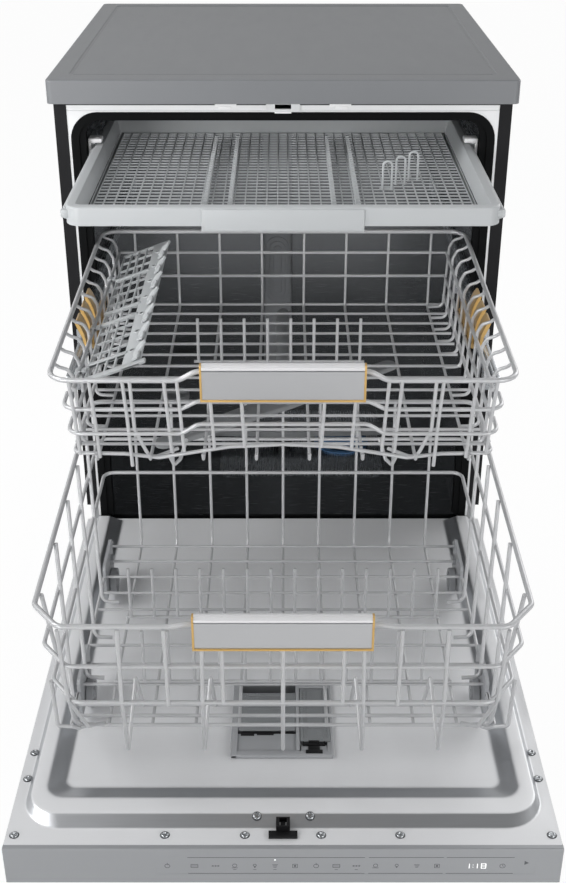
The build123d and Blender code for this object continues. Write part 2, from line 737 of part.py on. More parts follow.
def top_spray_arm():
    bottom = top_arm_bottom()
    arm = spray_blade(TOP_ARM_REACH, TOP_ARM_WIDTH, TOP_ARM_THICKNESS, bottom)
    arm -= upright_cylinder(0, 0, (bottom - 1, bottom + TOP_ARM_THICKNESS + 1), TOP_PIN_RADIUS + RUNNING)
    return Pos(0, ARM_Y, 0) * arm


def lower_spray_arm():
    top = LOWER_ARM_BOTTOM + LOWER_ARM_THICKNESS
    arm = spray_blade(LOWER_ARM_REACH, LOWER_ARM_WIDTH, LOWER_ARM_THICKNESS, LOWER_ARM_BOTTOM)
    hub = upright_cylinder(0, 0, (COLUMN_TOP + SEAT, top + 2), LOWER_HUB_RADIUS)
    arm = weld([arm, hub])
    arm -= upright_cylinder(0, 0, (COLUMN_TOP - 1, COLUMN_TOP + ARM_PIN_LENGTH + SEAT), ARM_PIN_RADIUS + RUNNING)
    arm -= jets(LOWER_ARM_REACH, LOWER_ARM_WIDTH, top, 5)
    return Pos(0, ARM_Y, 0) * arm


def sump():
    y = (ARM_Y - SUMP_HALF_DEPTH, ARM_Y + SUMP_HALF_DEPTH)
    rim = BASIN_FLOOR - SHEET - SEAT
    bowl = flat_plate((SUMP_LEFT, SUMP_RIGHT), y, (SUMP_BOTTOM, rim), SUMP_CORNER)
    bowl -= flat_plate(
        (SUMP_LEFT + SUMP_WALL, SUMP_RIGHT - SUMP_WALL),
        (y[0] + SUMP_WALL, y[1] - SUMP_WALL),
        (SUMP_BOTTOM + SUMP_WALL, rim + 1),
        SUMP_CORNER - SUMP_WALL,
    )
    column = upright_cylinder(0, ARM_Y, (SUMP_BOTTOM + 1, COLUMN_TOP), COLUMN_RADIUS)
    pin = upright_cylinder(0, ARM_Y, (COLUMN_TOP - 1, COLUMN_TOP + ARM_PIN_LENGTH), ARM_PIN_RADIUS)
    return weld([bowl, column, pin])


def filter_plate():
    bottom = BASIN_FLOOR + SEAT
    z = (bottom, bottom + PLATE_THICKNESS)
    plate = flat_plate((PLATE_LEFT, PLATE_RIGHT), (ARM_Y - PLATE_HALF_DEPTH, ARM_Y + PLATE_HALF_DEPTH), z, 18)
    through = (z[0] - 1, z[1] + 1)
    plate -= upright_cylinder(FILTER_CUP_X, ARM_Y, through, FILTER_HOLE)
    plate -= upright_cylinder(0, ARM_Y, through, COLUMN_RADIUS + SEAT)
    return plate


def filter_cup():
    seat = BASIN_FLOOR + SEAT + PLATE_THICKNESS + SEAT
    bore = FILTER_CUP_RADIUS - FILTER_CUP_WALL
    cup = weld([
        upright_cylinder(FILTER_CUP_X, ARM_Y, (FILTER_CUP_BOTTOM, seat + 1), FILTER_CUP_RADIUS),
        upright_cylinder(FILTER_CUP_X, ARM_Y, (seat, seat + 2.5), FILTER_FLANGE),
    ])
    cup -= upright_cylinder(FILTER_CUP_X, ARM_Y, (FILTER_CUP_BOTTOM + FILTER_CUP_WALL, seat + 4), bore)
    grip = span(
        (FILTER_CUP_X - bore - SMALL, FILTER_CUP_X + bore + SMALL),
        (ARM_Y - 3, ARM_Y + 3),
        (seat - 8, seat + 10),
    )
    return weld([cup, grip])


def along_x(x, radius):
    """Cylinder on the circulation pump's axis between two x values."""
    return rod((x[0], ARM_Y, PUMP_Z), (x[1], ARM_Y, PUMP_Z), radius)


def circulation_pump():
    neck_end = SUMP_LEFT - SEAT
    housing = weld([
        along_x((VOLUTE_LEFT, VOLUTE_RIGHT), VOLUTE_RADIUS),
        along_x((MOTOR_LEFT, VOLUTE_LEFT + 1), MOTOR_RADIUS),
        along_x((VOLUTE_RIGHT - 1, neck_end), PUMP_NECK),
    ])
    housing -= along_x((VOLUTE_LEFT + 4, VOLUTE_RIGHT - 4), VOLUTE_CAVITY)
    housing -= along_x((VOLUTE_RIGHT - 5, neck_end + 1), PUMP_NECK_BORE)
    return housing - along_x((MOTOR_LEFT + 20, VOLUTE_LEFT + 5), PUMP_SHAFT + RUNNING)


def pump_impeller():
    disc = (VOLUTE_LEFT + 6, VOLUTE_LEFT + 12)
    blades = []
    for number in range(IMPELLER_BLADES):
        turn = Rot(360 * number / IMPELLER_BLADES, 0, 0)
        blade = Box(12, 2.5, IMPELLER_RADIUS - 10, align=(Align.MIN, Align.CENTER, Align.MIN))
        blades.append(Pos(disc[1] - 1, ARM_Y, PUMP_Z) * turn * Pos(0, 0, 8) * blade)
    rotor = weld([
        along_x(disc, IMPELLER_RADIUS),
        along_x((MOTOR_LEFT + 22, disc[0] + 1), PUMP_SHAFT),
        *blades,
    ])
    return rotor


def drain_pump():
    start = SUMP_RIGHT + SEAT
    body = rod((start, ARM_Y, PUMP_Z), (start + DRAIN_LENGTH, ARM_Y, PUMP_Z), DRAIN_RADIUS)
    outlet_x = start + DRAIN_SPIGOT + 4
    spigot = rod((outlet_x, ARM_Y + DRAIN_RADIUS - 4, PUMP_Z), (outlet_x, ARM_Y + DRAIN_RADIUS + 30, PUMP_Z),
                 DRAIN_SPIGOT)
    return weld([body, spigot])


def softener():
    y = (SALT_Y - SOFTENER_HALF_DEPTH, SALT_Y + SOFTENER_HALF_DEPTH)
    tank = flat_plate((SOFTENER_LEFT, SOFTENER_RIGHT), y, (SOFTENER_BOTTOM, SOFTENER_TOP), 14)
    neck = upright_cylinder(SALT_X, SALT_Y, (SOFTENER_TOP - 1, TUB_FLOOR + 4), SALT_NECK)
    return weld([tank, neck]) - upright_cylinder(SALT_X, SALT_Y, (SOFTENER_BOTTOM + 20, TUB_FLOOR + 5), SALT_BORE)


def salt_cap():
    rim = TUB_FLOOR + 4 + SEAT
    plug = upright_cylinder(SALT_X, SALT_Y, (rim - 26, rim + 1), SALT_BORE - RUNNING)
    head = upright_cylinder(SALT_X, SALT_Y, (rim, rim + SALT_CAP_HEIGHT), SALT_CAP_RADIUS)
    head = fillet(head.faces().sort_by(Axis.Z)[-1].edges(), 1.5)
    grip = Pos(SALT_X, SALT_Y, rim + SALT_CAP_HEIGHT) * Box(2 * SALT_CAP_RADIUS - 10, 8, 8)
    return weld([plug, head, grip])


def inlet_valve():
    panel_front = CABINET_BACK - 2 * SHEET - SEAT
    seat = panel_front - SEAT
    body = span(
        (INLET_X - VALVE_HALF, INLET_X + VALVE_HALF),
        (seat - VALVE_NEAR, seat - VALVE_FAR),
        (INLET_Z - VALVE_HALF, INLET_Z + VALVE_HALF),
    )
    body = fillet(body.edges().filter_by(Axis.Y), VALVE_EDGE)
    coil_y = seat - (VALVE_NEAR + VALVE_FAR) / 2
    coil_z = INLET_Z + VALVE_HALF - 1
    coil = rod((INLET_X, coil_y, coil_z), (INLET_X, coil_y, coil_z + COIL_HEIGHT), COIL_RADIUS)
    collar = rod((INLET_X, seat - VALVE_FAR - 1, INLET_Z), (INLET_X, seat, INLET_Z), INLET_THREAD + 6)
    stub = rod((INLET_X, seat - 1, INLET_Z), (INLET_X, INLET_END, INLET_Z), INLET_THREAD)
    bore = rod((INLET_X, seat - 20, INLET_Z), (INLET_X, INLET_END + 1, INLET_Z), INLET_BORE)
    return weld([body, coil, collar, stub]) - bore


def rack_rails():
    outer = TUB_HALF - SEAT
    z = (RAIL_Z - RAIL_HEIGHT / 2, RAIL_Z + RAIL_HEIGHT / 2)
    rail = span((outer - RAIL_DEPTH, outer), (RAIL_FRONT, RAIL_REAR), z)
    rail -= span(
        (outer - RAIL_DEPTH - 1, outer - RAIL_WEB),
        (RAIL_FRONT - 1, RAIL_REAR - 6),
        (z[0] + RAIL_WEB, z[1] - RAIL_WEB),
    )
    return [rail, mirrored(rail)]


def slide_outer():
    """Outer face of whatever slides through the opening's gasket, from the centre plane."""
    return TUB_HALF - GASKET_INWARD - GASKET_CLEAR


def rail_slides():
    outer = slide_outer()
    front = SLIDE_IN_FRONT - MIDDLE_TRAVEL / 2
    z = (RAIL_Z - SLIDE_HEIGHT / 2, RAIL_Z + SLIDE_HEIGHT / 2)
    return both(outer - SLIDE_THICKNESS, outer, (front, front + SLIDE_LENGTH), z)


def tray_rails():
    outer = TUB_HALF - SEAT
    middle = TRAY_TOP - TRAY_HEIGHT / 2
    z = (middle - TRAY_HEIGHT / 2, middle + TRAY_HEIGHT / 2)
    rail = span((outer - TRAY_RAIL_DEPTH, outer), (TRAY_RAIL_FRONT, TRAY_RAIL_REAR), z)
    rail -= span(
        (outer - TRAY_RAIL_DEPTH - 1, outer - TRAY_RAIL_WEB),
        (TRAY_RAIL_FRONT - 1, TRAY_RAIL_REAR - 5),
        (z[0] + TRAY_RAIL_WEB, z[1] - TRAY_RAIL_WEB),
    )
    return [rail, mirrored(rail)]


def hinge_brackets():
    """Fixed plates with the two pins on which the door turns."""
    x = (HINGE_PLATE_X, HINGE_PLATE_X + HINGE_PLATE_THICKNESS)
    reach = span(x, (PIVOT_Y - 10, KICK_SETBACK + 11), (PIVOT_Z - 12, PIVOT_Z + 10))
    leg = span(x, (KICK_SETBACK + 10, KICK_SETBACK + 50), (BASE_RIM_Z - 40, PIVOT_Z + 10))
    foot_y = (KICK_SETBACK + 10, KICK_SETBACK + 50)
    wall = CABINET_HALF - SHEET - SEAT - BASE_WALL - SEAT
    ear = span((x[0], wall), foot_y, (BASE_RIM_Z - 20, BASE_RIM_Z - 17))
    pin = rod((x[0] + 1, PIVOT_Y, PIVOT_Z), (HINGE_ARM_X + HINGE_ARM_THICKNESS + 3, PIVOT_Y, PIVOT_Z), HINGE_PIN_RADIUS)
    bracket = weld([reach, leg, ear, pin])
    return [bracket, mirrored(bracket)]


# Door


def door_outer_panel():
    z = (DOOR_OUTER_Z, DOOR_INNER_Z - SHEET - SEAT)
    tray = span((-DOOR_HALF, DOOR_HALF), (DOOR_SHELL_Y + SEAT, DOOR_TAIL_Y), z)
    inner = DOOR_HALF - SHEET
    tray -= span((-inner, inner), (DOOR_SHELL_Y - 1, DOOR_TAIL_Y - SHEET), (z[0] + SHEET, z[1] + 1))
    middle = HINGE_PLATE_X + HINGE_PLATE_THICKNESS / 2
    for side in (-1, 1):
        x = side * middle
        tray -= span(
            (x - HINGE_SLOT_HALF, x + HINGE_SLOT_HALF),
            (DOOR_TAIL_Y - SHEET - 1, DOOR_TAIL_Y + 1),
            (z[0] + SHEET, z[1] + 1),
        )
    return tray


def ridge_face(half, end, z, corner):
    """Level outline of the door panel's ridge or pocket at height z, its far side `end` from the fascia."""
    far = DOOR_SHELL_Y + end
    near = DOOR_TAIL_Y + 60
    return Pos(0, (far + near) / 2, z) * RectangleRounded(2 * half, near - far, corner)


def door_surface():
    """Solid below the inner panel's pressed top face."""
    top = DOOR_INNER_Z + RIDGE_HEIGHT
    block = span((-DOOR_HALF, DOOR_HALF), (DOOR_SHELL_Y, DOOR_TAIL_Y), (DOOR_OUTER_Z, DOOR_INNER_Z))
    mound = loft([
        ridge_face(RIDGE_FOOT_HALF, RIDGE_FOOT_END, DOOR_INNER_Z - SMALL, RIDGE_CORNER),
        ridge_face(RIDGE_TOP_HALF, RIDGE_TOP_END, top, RIDGE_CORNER - 10),
    ], ruled=True)
    pocket = loft([
        ridge_face(POCKET_FLOOR_HALF, POCKET_FLOOR_END, DOOR_INNER_Z, POCKET_CORNER),
        ridge_face(POCKET_TOP_HALF, POCKET_TOP_END, top + SMALL, POCKET_CORNER),
    ], ruled=True)
    ridge = mound - pocket
    ridge &= span((-DOOR_HALF, DOOR_HALF), (DOOR_SHELL_Y, DOOR_TAIL_Y - RIDGE_TAIL_END), (DOOR_OUTER_Z, top + 1))
    return block + ridge


def door_inner_panel():
    solid = door_surface()
    sheet = solid - Pos(0, 0, -SHEET) * solid
    body_half = DISPENSER_HALF - DISPENSER_BODY_INSET + SEAT
    y = (DISPENSER_FAR + DISPENSER_BODY_INSET - SEAT, DISPENSER_NEAR - DISPENSER_BODY_INSET + SEAT)
    sheet -= span((-body_half, body_half), y, (DOOR_INNER_Z - 3, DOOR_INNER_Z + 3))
    latch = LATCH_STEM / 2 + SEAT
    far = DOOR_END_Y + LATCH_FAR + LATCH_FOOT - 1
    near = DOOR_END_Y + LATCH_NEAR - 2 + SEAT
    sheet -= span((-latch, latch), (far, near), (DOOR_INNER_Z - 3, DOOR_INNER_Z + RIDGE_HEIGHT + 2))
    for x, y in screw_places():
        sheet -= upright_cylinder(x, y, (DOOR_INNER_Z - 3, DOOR_INNER_Z + 12), SCREW_SHANK + SEAT)
    return sheet


def screw_places():
    """Plan positions of the inner panel's screws, as the photograph shows them."""
    row_y = DOOR_END_Y + 20
    side_x = DOOR_HALF - 9
    places = [(x, row_y) for x in (-side_x, -127, -41, 41, 126, side_x)]
    places += [(side * side_x, y) for side in (-1, 1) for y in (-500, -250, -30)]
    return places


def door_screws():
    screws = []
    for x, y in screw_places():
        seat = DOOR_INNER_Z + SEAT
        head = upright_cylinder(x, y, (seat, seat + SCREW_HEAD_HEIGHT), SCREW_HEAD)
        shank = upright_cylinder(x, y, (seat - SCREW_LENGTH, seat + 0.5), SCREW_SHANK)
        cross = Pos(x, y, seat + SCREW_HEAD_HEIGHT) * Box(4, 0.9, 1.6)
        cross += Pos(x, y, seat + SCREW_HEAD_HEIGHT) * Box(0.9, 4, 1.6)
        screws.append(weld([head, shank]) - cross)
    return screws


def control_fascia():
    y = (DOOR_END_Y, DOOR_SHELL_Y)
    face = span((-DOOR_HALF, DOOR_HALF), y, (DOOR_OUTER_Z, DOOR_INNER_Z))
    face = fillet(face.edges().filter_by(Axis.X).group_by(Axis.Y)[0], FASCIA_EDGE)
    inner = DOOR_HALF - SHEET - SEAT
    z = DOOR_OUTER_Z + SHEET + SEAT
    tongue = span((-inner, inner), (y[1] - 1, y[1] + FASCIA_RETURN), (z, z + 2.5))
    window = span((DISPLAY_LEFT, DISPLAY_RIGHT), (y[0] - 1, y[0] + DISPLAY_THICKNESS + SEAT), display_z())
    posts = []
    for x in (DISPLAY_LEFT + 12, DISPLAY_RIGHT - 12):
        middle = sum(display_z()) / 2
        posts.append(rod((x, y[1] - 1, middle), (x, y[1] + BOARD_STANDOFF - SEAT, middle), 4))
    return weld([face, tongue, *posts]) - window


def display_z():
    """Bottom and top of the display strip on the fascia."""
    return (DOOR_OUTER_Z + DISPLAY_BOTTOM, DOOR_OUTER_Z + DISPLAY_BOTTOM + DISPLAY_HEIGHT)


def display_window():
    z = display_z()
    return span(
        (DISPLAY_LEFT + SEAT, DISPLAY_RIGHT - SEAT),
        (DOOR_END_Y, DOOR_END_Y + DISPLAY_THICKNESS),
        (z[0] + SEAT, z[1] - SEAT),
    )


def control_board():
    middle = sum(display_z()) / 2
    y = DOOR_SHELL_Y + BOARD_STANDOFF
    board = span((DISPLAY_LEFT, DISPLAY_RIGHT), (y, y + BOARD_THICKNESS), (middle - BOARD_HEIGHT / 2, middle + BOARD_HEIGHT / 2))
    parts = [board]
    for number in range(5):
        x = DISPLAY_LEFT + 40 + 70 * number
        parts.append(span((x, x + 18), (y + 1, y + 6 + number), (middle - 8, middle + 8)))
    return weld(parts)


def door_latch():
    """Black latch: a T in plan on the panel, and its case under it."""
    far = DOOR_END_Y + LATCH_FAR
    near = DOOR_END_Y + LATCH_NEAR
    foot = far + LATCH_FOOT
    seat = DOOR_INNER_Z + SEAT
    top = DOOR_INNER_Z + RIDGE_HEIGHT + 1.5
    bar = span((-LATCH_WIDTH / 2, LATCH_WIDTH / 2), (far, foot), (seat, seat + 3))
    stem = span((-LATCH_STEM / 2, LATCH_STEM / 2), (foot - 0.5, near - 2), (seat - LATCH_DEPTH, top))
    latch = weld([bar, stem])
    slot = LATCH_SLOT / 2
    latch -= span((-slot, slot), (foot + 1, near - 3.5), (seat - LATCH_DEPTH + 3, top + 1))
    pin_y, pin_z = hook_pivot()
    pin = rod((-slot - 1, pin_y, pin_z), (slot + 1, pin_y, pin_z), HOOK_PIN)
    return weld([latch, pin])


def hook_pivot():
    """Y and Z of the pin on which the latch's hook turns."""
    return DOOR_END_Y + LATCH_NEAR - 8.8, DOOR_INNER_Z - 14.0


def latch_hook():
    y, z = hook_pivot()
    half = HOOK_THICKNESS / 2
    body = span((-half, half), (y - 2.8, y + 2.8), (z - 3.4, DOOR_INNER_Z + 6))
    claw = span((-half, half), (y - 2.8, y + 4.4), (DOOR_INNER_Z + 3, DOOR_INNER_Z + 6))
    hook = weld([body, claw])
    return hook - rod((-half - 1, y, z), (half + 1, y, z), HOOK_PIN + RUNNING)


def dispenser_top():
    """Top face of the dispenser's frame."""
    return DOOR_INNER_Z + SEAT + DISPENSER_RIM


def dispenser_housing():
    z = (DOOR_INNER_Z + SEAT, dispenser_top())
    frame = flat_plate((-DISPENSER_HALF, DISPENSER_HALF), (DISPENSER_FAR, DISPENSER_NEAR), z, 4)
    frame = fillet(frame.faces().sort_by(Axis.Z)[-1].edges(), 1.2)
    body_half = DISPENSER_HALF - DISPENSER_BODY_INSET
    body_y = (DISPENSER_FAR + DISPENSER_BODY_INSET, DISPENSER_NEAR - DISPENSER_BODY_INSET)
    floor = z[0] - DISPENSER_DEPTH
    body = span((-body_half, body_half), body_y, (floor, z[0] + 1))
    body -= span(
        (-body_half + DISPENSER_WALL, body_half - DISPENSER_WALL),
        (body_y[0] + DISPENSER_WALL, body_y[1] - DISPENSER_WALL),
        (floor - 1, z[0] - DISPENSER_WALL),
    )
    cup_walls = span(
        (CUP_LEFT - DISPENSER_WALL, CUP_RIGHT + DISPENSER_WALL),
        (CUP_FAR - DISPENSER_WALL, CUP_NEAR + DISPENSER_WALL),
        (floor, z[0]),
    )
    housing = weld([frame, body, cup_walls])
    housing -= span((CUP_LEFT, CUP_RIGHT), (CUP_FAR, CUP_NEAR), (floor + DISPENSER_WALL, z[1] + 1))
    track = lid_bottom() - SEAT
    housing -= span(
        (CUP_LEFT - LID_LAP - SEAT, CUP_RIGHT + LID_LAP + SEAT),
        (CUP_FAR - LID_LAP - SEAT, DISPENSER_NEAR + 1),
        (track, z[1] + 1),
    )
    housing -= span((RINSE_LEFT, RINSE_RIGHT), (RINSE_FAR, RINSE_NEAR), (z[1] - 3.2, z[1] + 1))
    housing -= span((RINSE_LEFT + 4, RINSE_RIGHT - 4), (RINSE_FAR - 9, RINSE_FAR + 8), (z[1] - 12, z[1] + 1))
    pin_y, pin_z = rinse_pivot()
    pin = rod((RINSE_LEFT - 1, pin_y, pin_z), (RINSE_RIGHT + 1, pin_y, pin_z), RINSE_PIN)
    housing -= span((RINSE_LEFT, RINSE_RIGHT), (pin_y - 5, pin_y + 9), (pin_z - 5, z[1] + 1))
    return weld([housing, pin])


def lid_bottom():
    """Underside of the detergent lid in its track."""
    return dispenser_top() - LID_THICKNESS + 0.5


def detergent_lid():
    far = CUP_FAR - LID_LAP + LID_OPENING
    near = CUP_NEAR + LID_LAP + LID_OPENING
    z = lid_bottom()
    lid = span((CUP_LEFT - LID_LAP, CUP_RIGHT + LID_LAP), (far, near), (z, z + LID_THICKNESS))
    lid = fillet(lid.edges().filter_by(Axis.Z), 1.5)
    grip = span((-28, -10), (far + 3, far + 6), (z + LID_THICKNESS - 0.5, z + LID_THICKNESS + 1.5))
    return weld([lid, grip])


def rinse_pivot():
    """Y and Z of the pin on which the rinse-aid lid turns."""
    return RINSE_NEAR - 4.0, dispenser_top() - 4.0


def rinse_aid_lid():
    pin_y, pin_z = rinse_pivot()
    top = dispenser_top()
    x = (RINSE_LEFT + SEAT, RINSE_RIGHT - SEAT)
    plate = span(x, (RINSE_FAR + SEAT, pin_y + 1), (top - 2.6, top))
    tab = span((RINSE_LEFT + 8, RINSE_RIGHT - 8), (RINSE_FAR - 6, RINSE_FAR + 2), (top - 2.6, top - 0.6))
    lug = span(x, (pin_y - 3.8, pin_y + 3.8), (pin_z - 3.8, top))
    lid = weld([plate, tab, lug])
    return lid - rod((x[0] - 1, pin_y, pin_z), (x[1] + 1, pin_y, pin_z), RINSE_PIN + RUNNING)


def hinge_arms():
    x = (HINGE_ARM_X, HINGE_ARM_X + HINGE_ARM_THICKNESS)
    z = (PIVOT_Z - HINGE_ARM_HEIGHT / 2, PIVOT_Z + HINGE_ARM_HEIGHT / 2)
    arm = span(x, (PIVOT_Y - HINGE_ARM_LENGTH, PIVOT_Y + 11), z)
    arm = fillet(arm.edges().filter_by(Axis.X), 8)
    side = DOOR_HALF - SHEET - SEAT
    flange = span((x[0], side), (PIVOT_Y - HINGE_ARM_LENGTH + 10, PIVOT_Y - 50), (z[0] + 10, z[0] + 13))
    arm = weld([arm, flange])
    arm -= rod((x[0] - 1, PIVOT_Y, PIVOT_Z), (x[1] + 1, PIVOT_Y, PIVOT_Z), HINGE_PIN_RADIUS + RUNNING)
    return [arm, mirrored(arm)]


# Lower basket


def tier_points(half, front, z, chamfer_x, chamfer_y):
    """Front wire of the lower basket: straight across, with a chamfer at each corner."""
    corner_y = front + chamfer_y
    inner = half - chamfer_x
    return [(-half, corner_y, z), (-inner, front, z), (inner, front, z), (half, corner_y, z)]


def lower_front_panel():
    pieces = []
    for z, inset in zip(LOWER_TIER_Z, LOWER_TIER_IN):
        radius = RIM_WIRE if inset == 0 else WALL_WIRE
        half = LOWER_RIM_HALF - inset
        front = LOWER_FRONT + inset
        pieces.append(wire(tier_points(half, front, z, LOWER_CHAMFER_X, LOWER_CHAMFER_Y), radius, 8))
    low_z = LOWER_TIER_Z[-1]
    low_front = LOWER_FRONT + LOWER_TIER_IN[-1]
    for x in LOWER_PRONG_X:
        tip = (x, LOWER_PRONG_TIP_Y, LOWER_PRONG_TIP_Z)
        high = (x - 6, LOWER_FRONT + RIM_WIRE + WALL_WIRE - WELD, LOWER_RIM_Z)
        low = (x - 3, low_front + 2 * WALL_WIRE - WELD, low_z)
        pieces.append(rod(high, low, WALL_WIRE))
        pieces.append(rod(low, tip, WALL_WIRE))
        pieces.append(knot(low, WALL_WIRE))
    return weld(pieces)


def lower_side_panel(side):
    front = LOWER_FRONT + LOWER_CHAMFER_Y + PANEL_GAP
    rear = LOWER_BACK
    rim_z = (LOWER_RIM_Z, LOWER_RIM_Z + LOWER_RIM_RISE)
    pieces = [rod((LOWER_RIM_HALF, front, rim_z[0]), (LOWER_RIM_HALF, rear, rim_z[1]), RIM_WIRE)]
    for z, inset in zip(LOWER_TIER_Z[1:], LOWER_TIER_IN[1:]):
        half = LOWER_RIM_HALF - inset
        rise = LOWER_RIM_RISE * (z - LOWER_FLOOR_Z) / (LOWER_RIM_Z - LOWER_FLOOR_Z)
        pieces.append(rod((half, front + inset, z), (half, rear, z + rise), WALL_WIRE))
    foot = (LOWER_FLOOR_HALF + LOWER_FOOT_OUT, LOWER_FLOOR_Z)
    pieces.append(rod((foot[0], LOWER_FLOOR_FRONT, foot[1]), (foot[0], rear, foot[1]), WALL_WIRE))
    count = 6
    for number in range(count):
        share = number / (count - 1)
        y = front + 12 + share * (rear - front - 50)
        top_z = LOWER_RIM_Z + LOWER_RIM_RISE * (y - front) / (rear - front)
        y_foot = max(y + 22, LOWER_FLOOR_FRONT + 4)
        top = (LOWER_RIM_HALF - RIM_WIRE, y, top_z)
        pieces.append(rod(top, (foot[0], y_foot, foot[1]), WALL_WIRE))
    panel = weld(pieces)
    return panel if side > 0 else mirrored(panel)


def lower_back_panel():
    y = LOWER_BACK + RIM_WIRE + PANEL_GAP
    half = LOWER_RIM_HALF - RIM_WIRE
    pieces = []
    for z, inset in zip(LOWER_TIER_Z, LOWER_TIER_IN):
        radius = RIM_WIRE if inset == 0 else WALL_WIRE
        pieces.append(rod((inset - half, y, z), (half - inset, y, z), radius))
    top = LOWER_RIM_Z
    low = LOWER_FLOOR_Z
    pieces.append(rod((-LOWER_FLOOR_HALF, y, low), (LOWER_FLOOR_HALF, y, low), WALL_WIRE))
    for number in range(7):
        x = -LOWER_FLOOR_HALF + 10 + (2 * LOWER_FLOOR_HALF - 20) * number / 6
        pieces.append(rod((x, y + UPRIGHT_STEP, low + WELD), (x, y + UPRIGHT_STEP, top - WELD), WALL_WIRE))
    return weld(pieces)


def lower_floor_panel():
    along_z = LOWER_FLOOR_Z - 2 * FLOOR_WIRE + WELD
    pieces = []
    count = 11
    half = LOWER_FLOOR_HALF + LOWER_FOOT_OUT - WALL_WIRE - SEAT
    for number in range(count):
        y = LOWER_FLOOR_FRONT + (LOWER_FLOOR_BACK - LOWER_FLOOR_FRONT) * number / (count - 1)
        pieces.append(rod((-half, y, LOWER_FLOOR_Z), (half, y, LOWER_FLOOR_Z), FLOOR_WIRE))
    for number in range(7):
        x = -LOWER_FLOOR_HALF + 14 + (2 * LOWER_FLOOR_HALF - 28) * number / 6
        pieces.append(rod((x, LOWER_FLOOR_FRONT - 14, along_z), (x, LOWER_BACK + WELD, along_z), FLOOR_WIRE))
    for y in (LOWER_TINE_FRONT_Y, LOWER_TINE_REAR_Y):
        pieces += tine_eyes(LOWER_EYES, y, along_z, lower_tine_z())
    return weld(pieces)


def lower_basket():
    return [
        lower_floor_panel(),
        lower_front_panel(),
        lower_back_panel(),
        lower_side_panel(-1),
        lower_side_panel(1),
    ]


def handle(front, middle_z):
    """Flat aluminium grip with a rounded upper band."""
    z = (middle_z - HANDLE_HEIGHT / 2, middle_z + HANDLE_HEIGHT / 2)
    back = front - RIM_WIRE - SEAT
    half = HANDLE_HALF - TRIM_WIDTH - SEAT
    grip = span((-half, half), (back - HANDLE_DEPTH, back), z)
    edges = grip.edges().filter_by(Axis.X).group_by(Axis.Y)[0].group_by(Axis.Z)[-1]
    return fillet(edges, HANDLE_ROUND)


def handle_trim(front, middle_z):
    """Gold U that frames the grip's two ends and lower edge."""
    z = (middle_z - HANDLE_HEIGHT / 2 - TRIM_WIDTH - SEAT, middle_z + HANDLE_HEIGHT / 2)
    back = front - RIM_WIRE - SEAT
    trim = span((-HANDLE_HALF, HANDLE_HALF), (back - TRIM_DEPTH, back), z)
    half = HANDLE_HALF - TRIM_WIDTH
    return trim - span((-half, half), (back - TRIM_DEPTH - 1, back + 1), (z[0] + TRIM_WIDTH, z[1] + 1))


def wheel_z():
    """Height of the lower basket's wheel axles above the floor."""
    return DOOR_INNER_Z + WHEEL_LIFT + WHEEL_RADIUS


def wheel_carriers():
    z = wheel_z()
    solids = []
    for y in (WHEEL_FRONT_Y, WHEEL_REAR_Y):
        x = (CARRIER_X, CARRIER_X + CARRIER_THICKNESS)
        plate = span(x, (y - CARRIER_HALF_LENGTH, y + CARRIER_HALF_LENGTH), (z - 8, CARRIER_TOP))
        plate = fillet(plate.edges().filter_by(Axis.X), 6)
        pin = rod((x[0] - WHEEL_WIDTH - 2, y, z), (x[0] + 1, y, z), WHEEL_PIN)
        lug_y = (y + CARRIER_LUG_STEP - CARRIER_LUG_HALF, y + CARRIER_LUG_STEP + CARRIER_LUG_HALF)
        lug_z = (LOWER_FLOOR_Z - WALL_WIRE - 2, LOWER_FLOOR_Z + WALL_WIRE)
        lug = span((LOWER_FLOOR_HALF + LOWER_FOOT_OUT + WALL_WIRE + SEAT, x[0] + 1), lug_y, lug_z)
        plate = weld([plate, pin, lug])
        solids += [plate, mirrored(plate)]
    return solids


def lower_wheels(y):
    z = wheel_z()
    x = WHEEL_X
    wheel = rod((x - WHEEL_WIDTH / 2, y, z), (x + WHEEL_WIDTH / 2, y, z), WHEEL_RADIUS)
    wheel = fillet(wheel.edges().filter_by(GeomType.CIRCLE), 1.5)
    for number in range(5):
        turn = 2 * pi * number / 5
        hole_y = y + 11 * cos(turn)
        hole_z = z + 11 * sin(turn)
        wheel -= rod((x - WHEEL_WIDTH, hole_y, hole_z), (x + WHEEL_WIDTH, hole_y, hole_z), 3.2)
    wheel -= rod((x - WHEEL_WIDTH, y, z), (x + WHEEL_WIDTH, y, z), WHEEL_PIN + RUNNING)
    return [wheel, mirrored(wheel)]


def tine_eyes(places, y, floor_z, axis_z):
    """Small blocks on the floor wires, bored for a folding row's base wire."""
    top = axis_z + TINE_WIRE + EYE_WALL
    depth = TINE_WIRE + EYE_WALL
    blocks = [span((x - EYE_HALF, x + EYE_HALF), (y - depth, y + depth), (floor_z, top)) for x in places]
    bore = rod((min(places) - 5, y, axis_z), (max(places) + 5, y, axis_z), TINE_WIRE + RUNNING)
    return [block - bore for block in blocks]


def tine_row(y, z, left, right, count, height):
    """Fold-down row: a base wire across the basket with upright tines."""
    pieces = [rod((left - 6, y, z), (right + 6, y, z), TINE_WIRE)]
    for number in range(count):
        x = left + (right - left) * number / (count - 1)
        pieces.append(rod((x, y, z), (x, y, z + height), TINE_WIRE))
        pieces.append(Pos(x, y, z + height) * Sphere(TINE_WIRE))
    return weld(pieces)


def lower_tines(y):
    half = LOWER_TINE_SPAN / 2
    return tine_row(y, lower_tine_z(), -half, half, LOWER_TINE_COUNT, LOWER_TINE_HEIGHT)


def lower_tine_z():
    """Height of the folding rows' base wires, just above the basket's floor wires."""
    return LOWER_FLOOR_Z + FLOOR_WIRE + TINE_WIRE + SEAT


# Middle basket


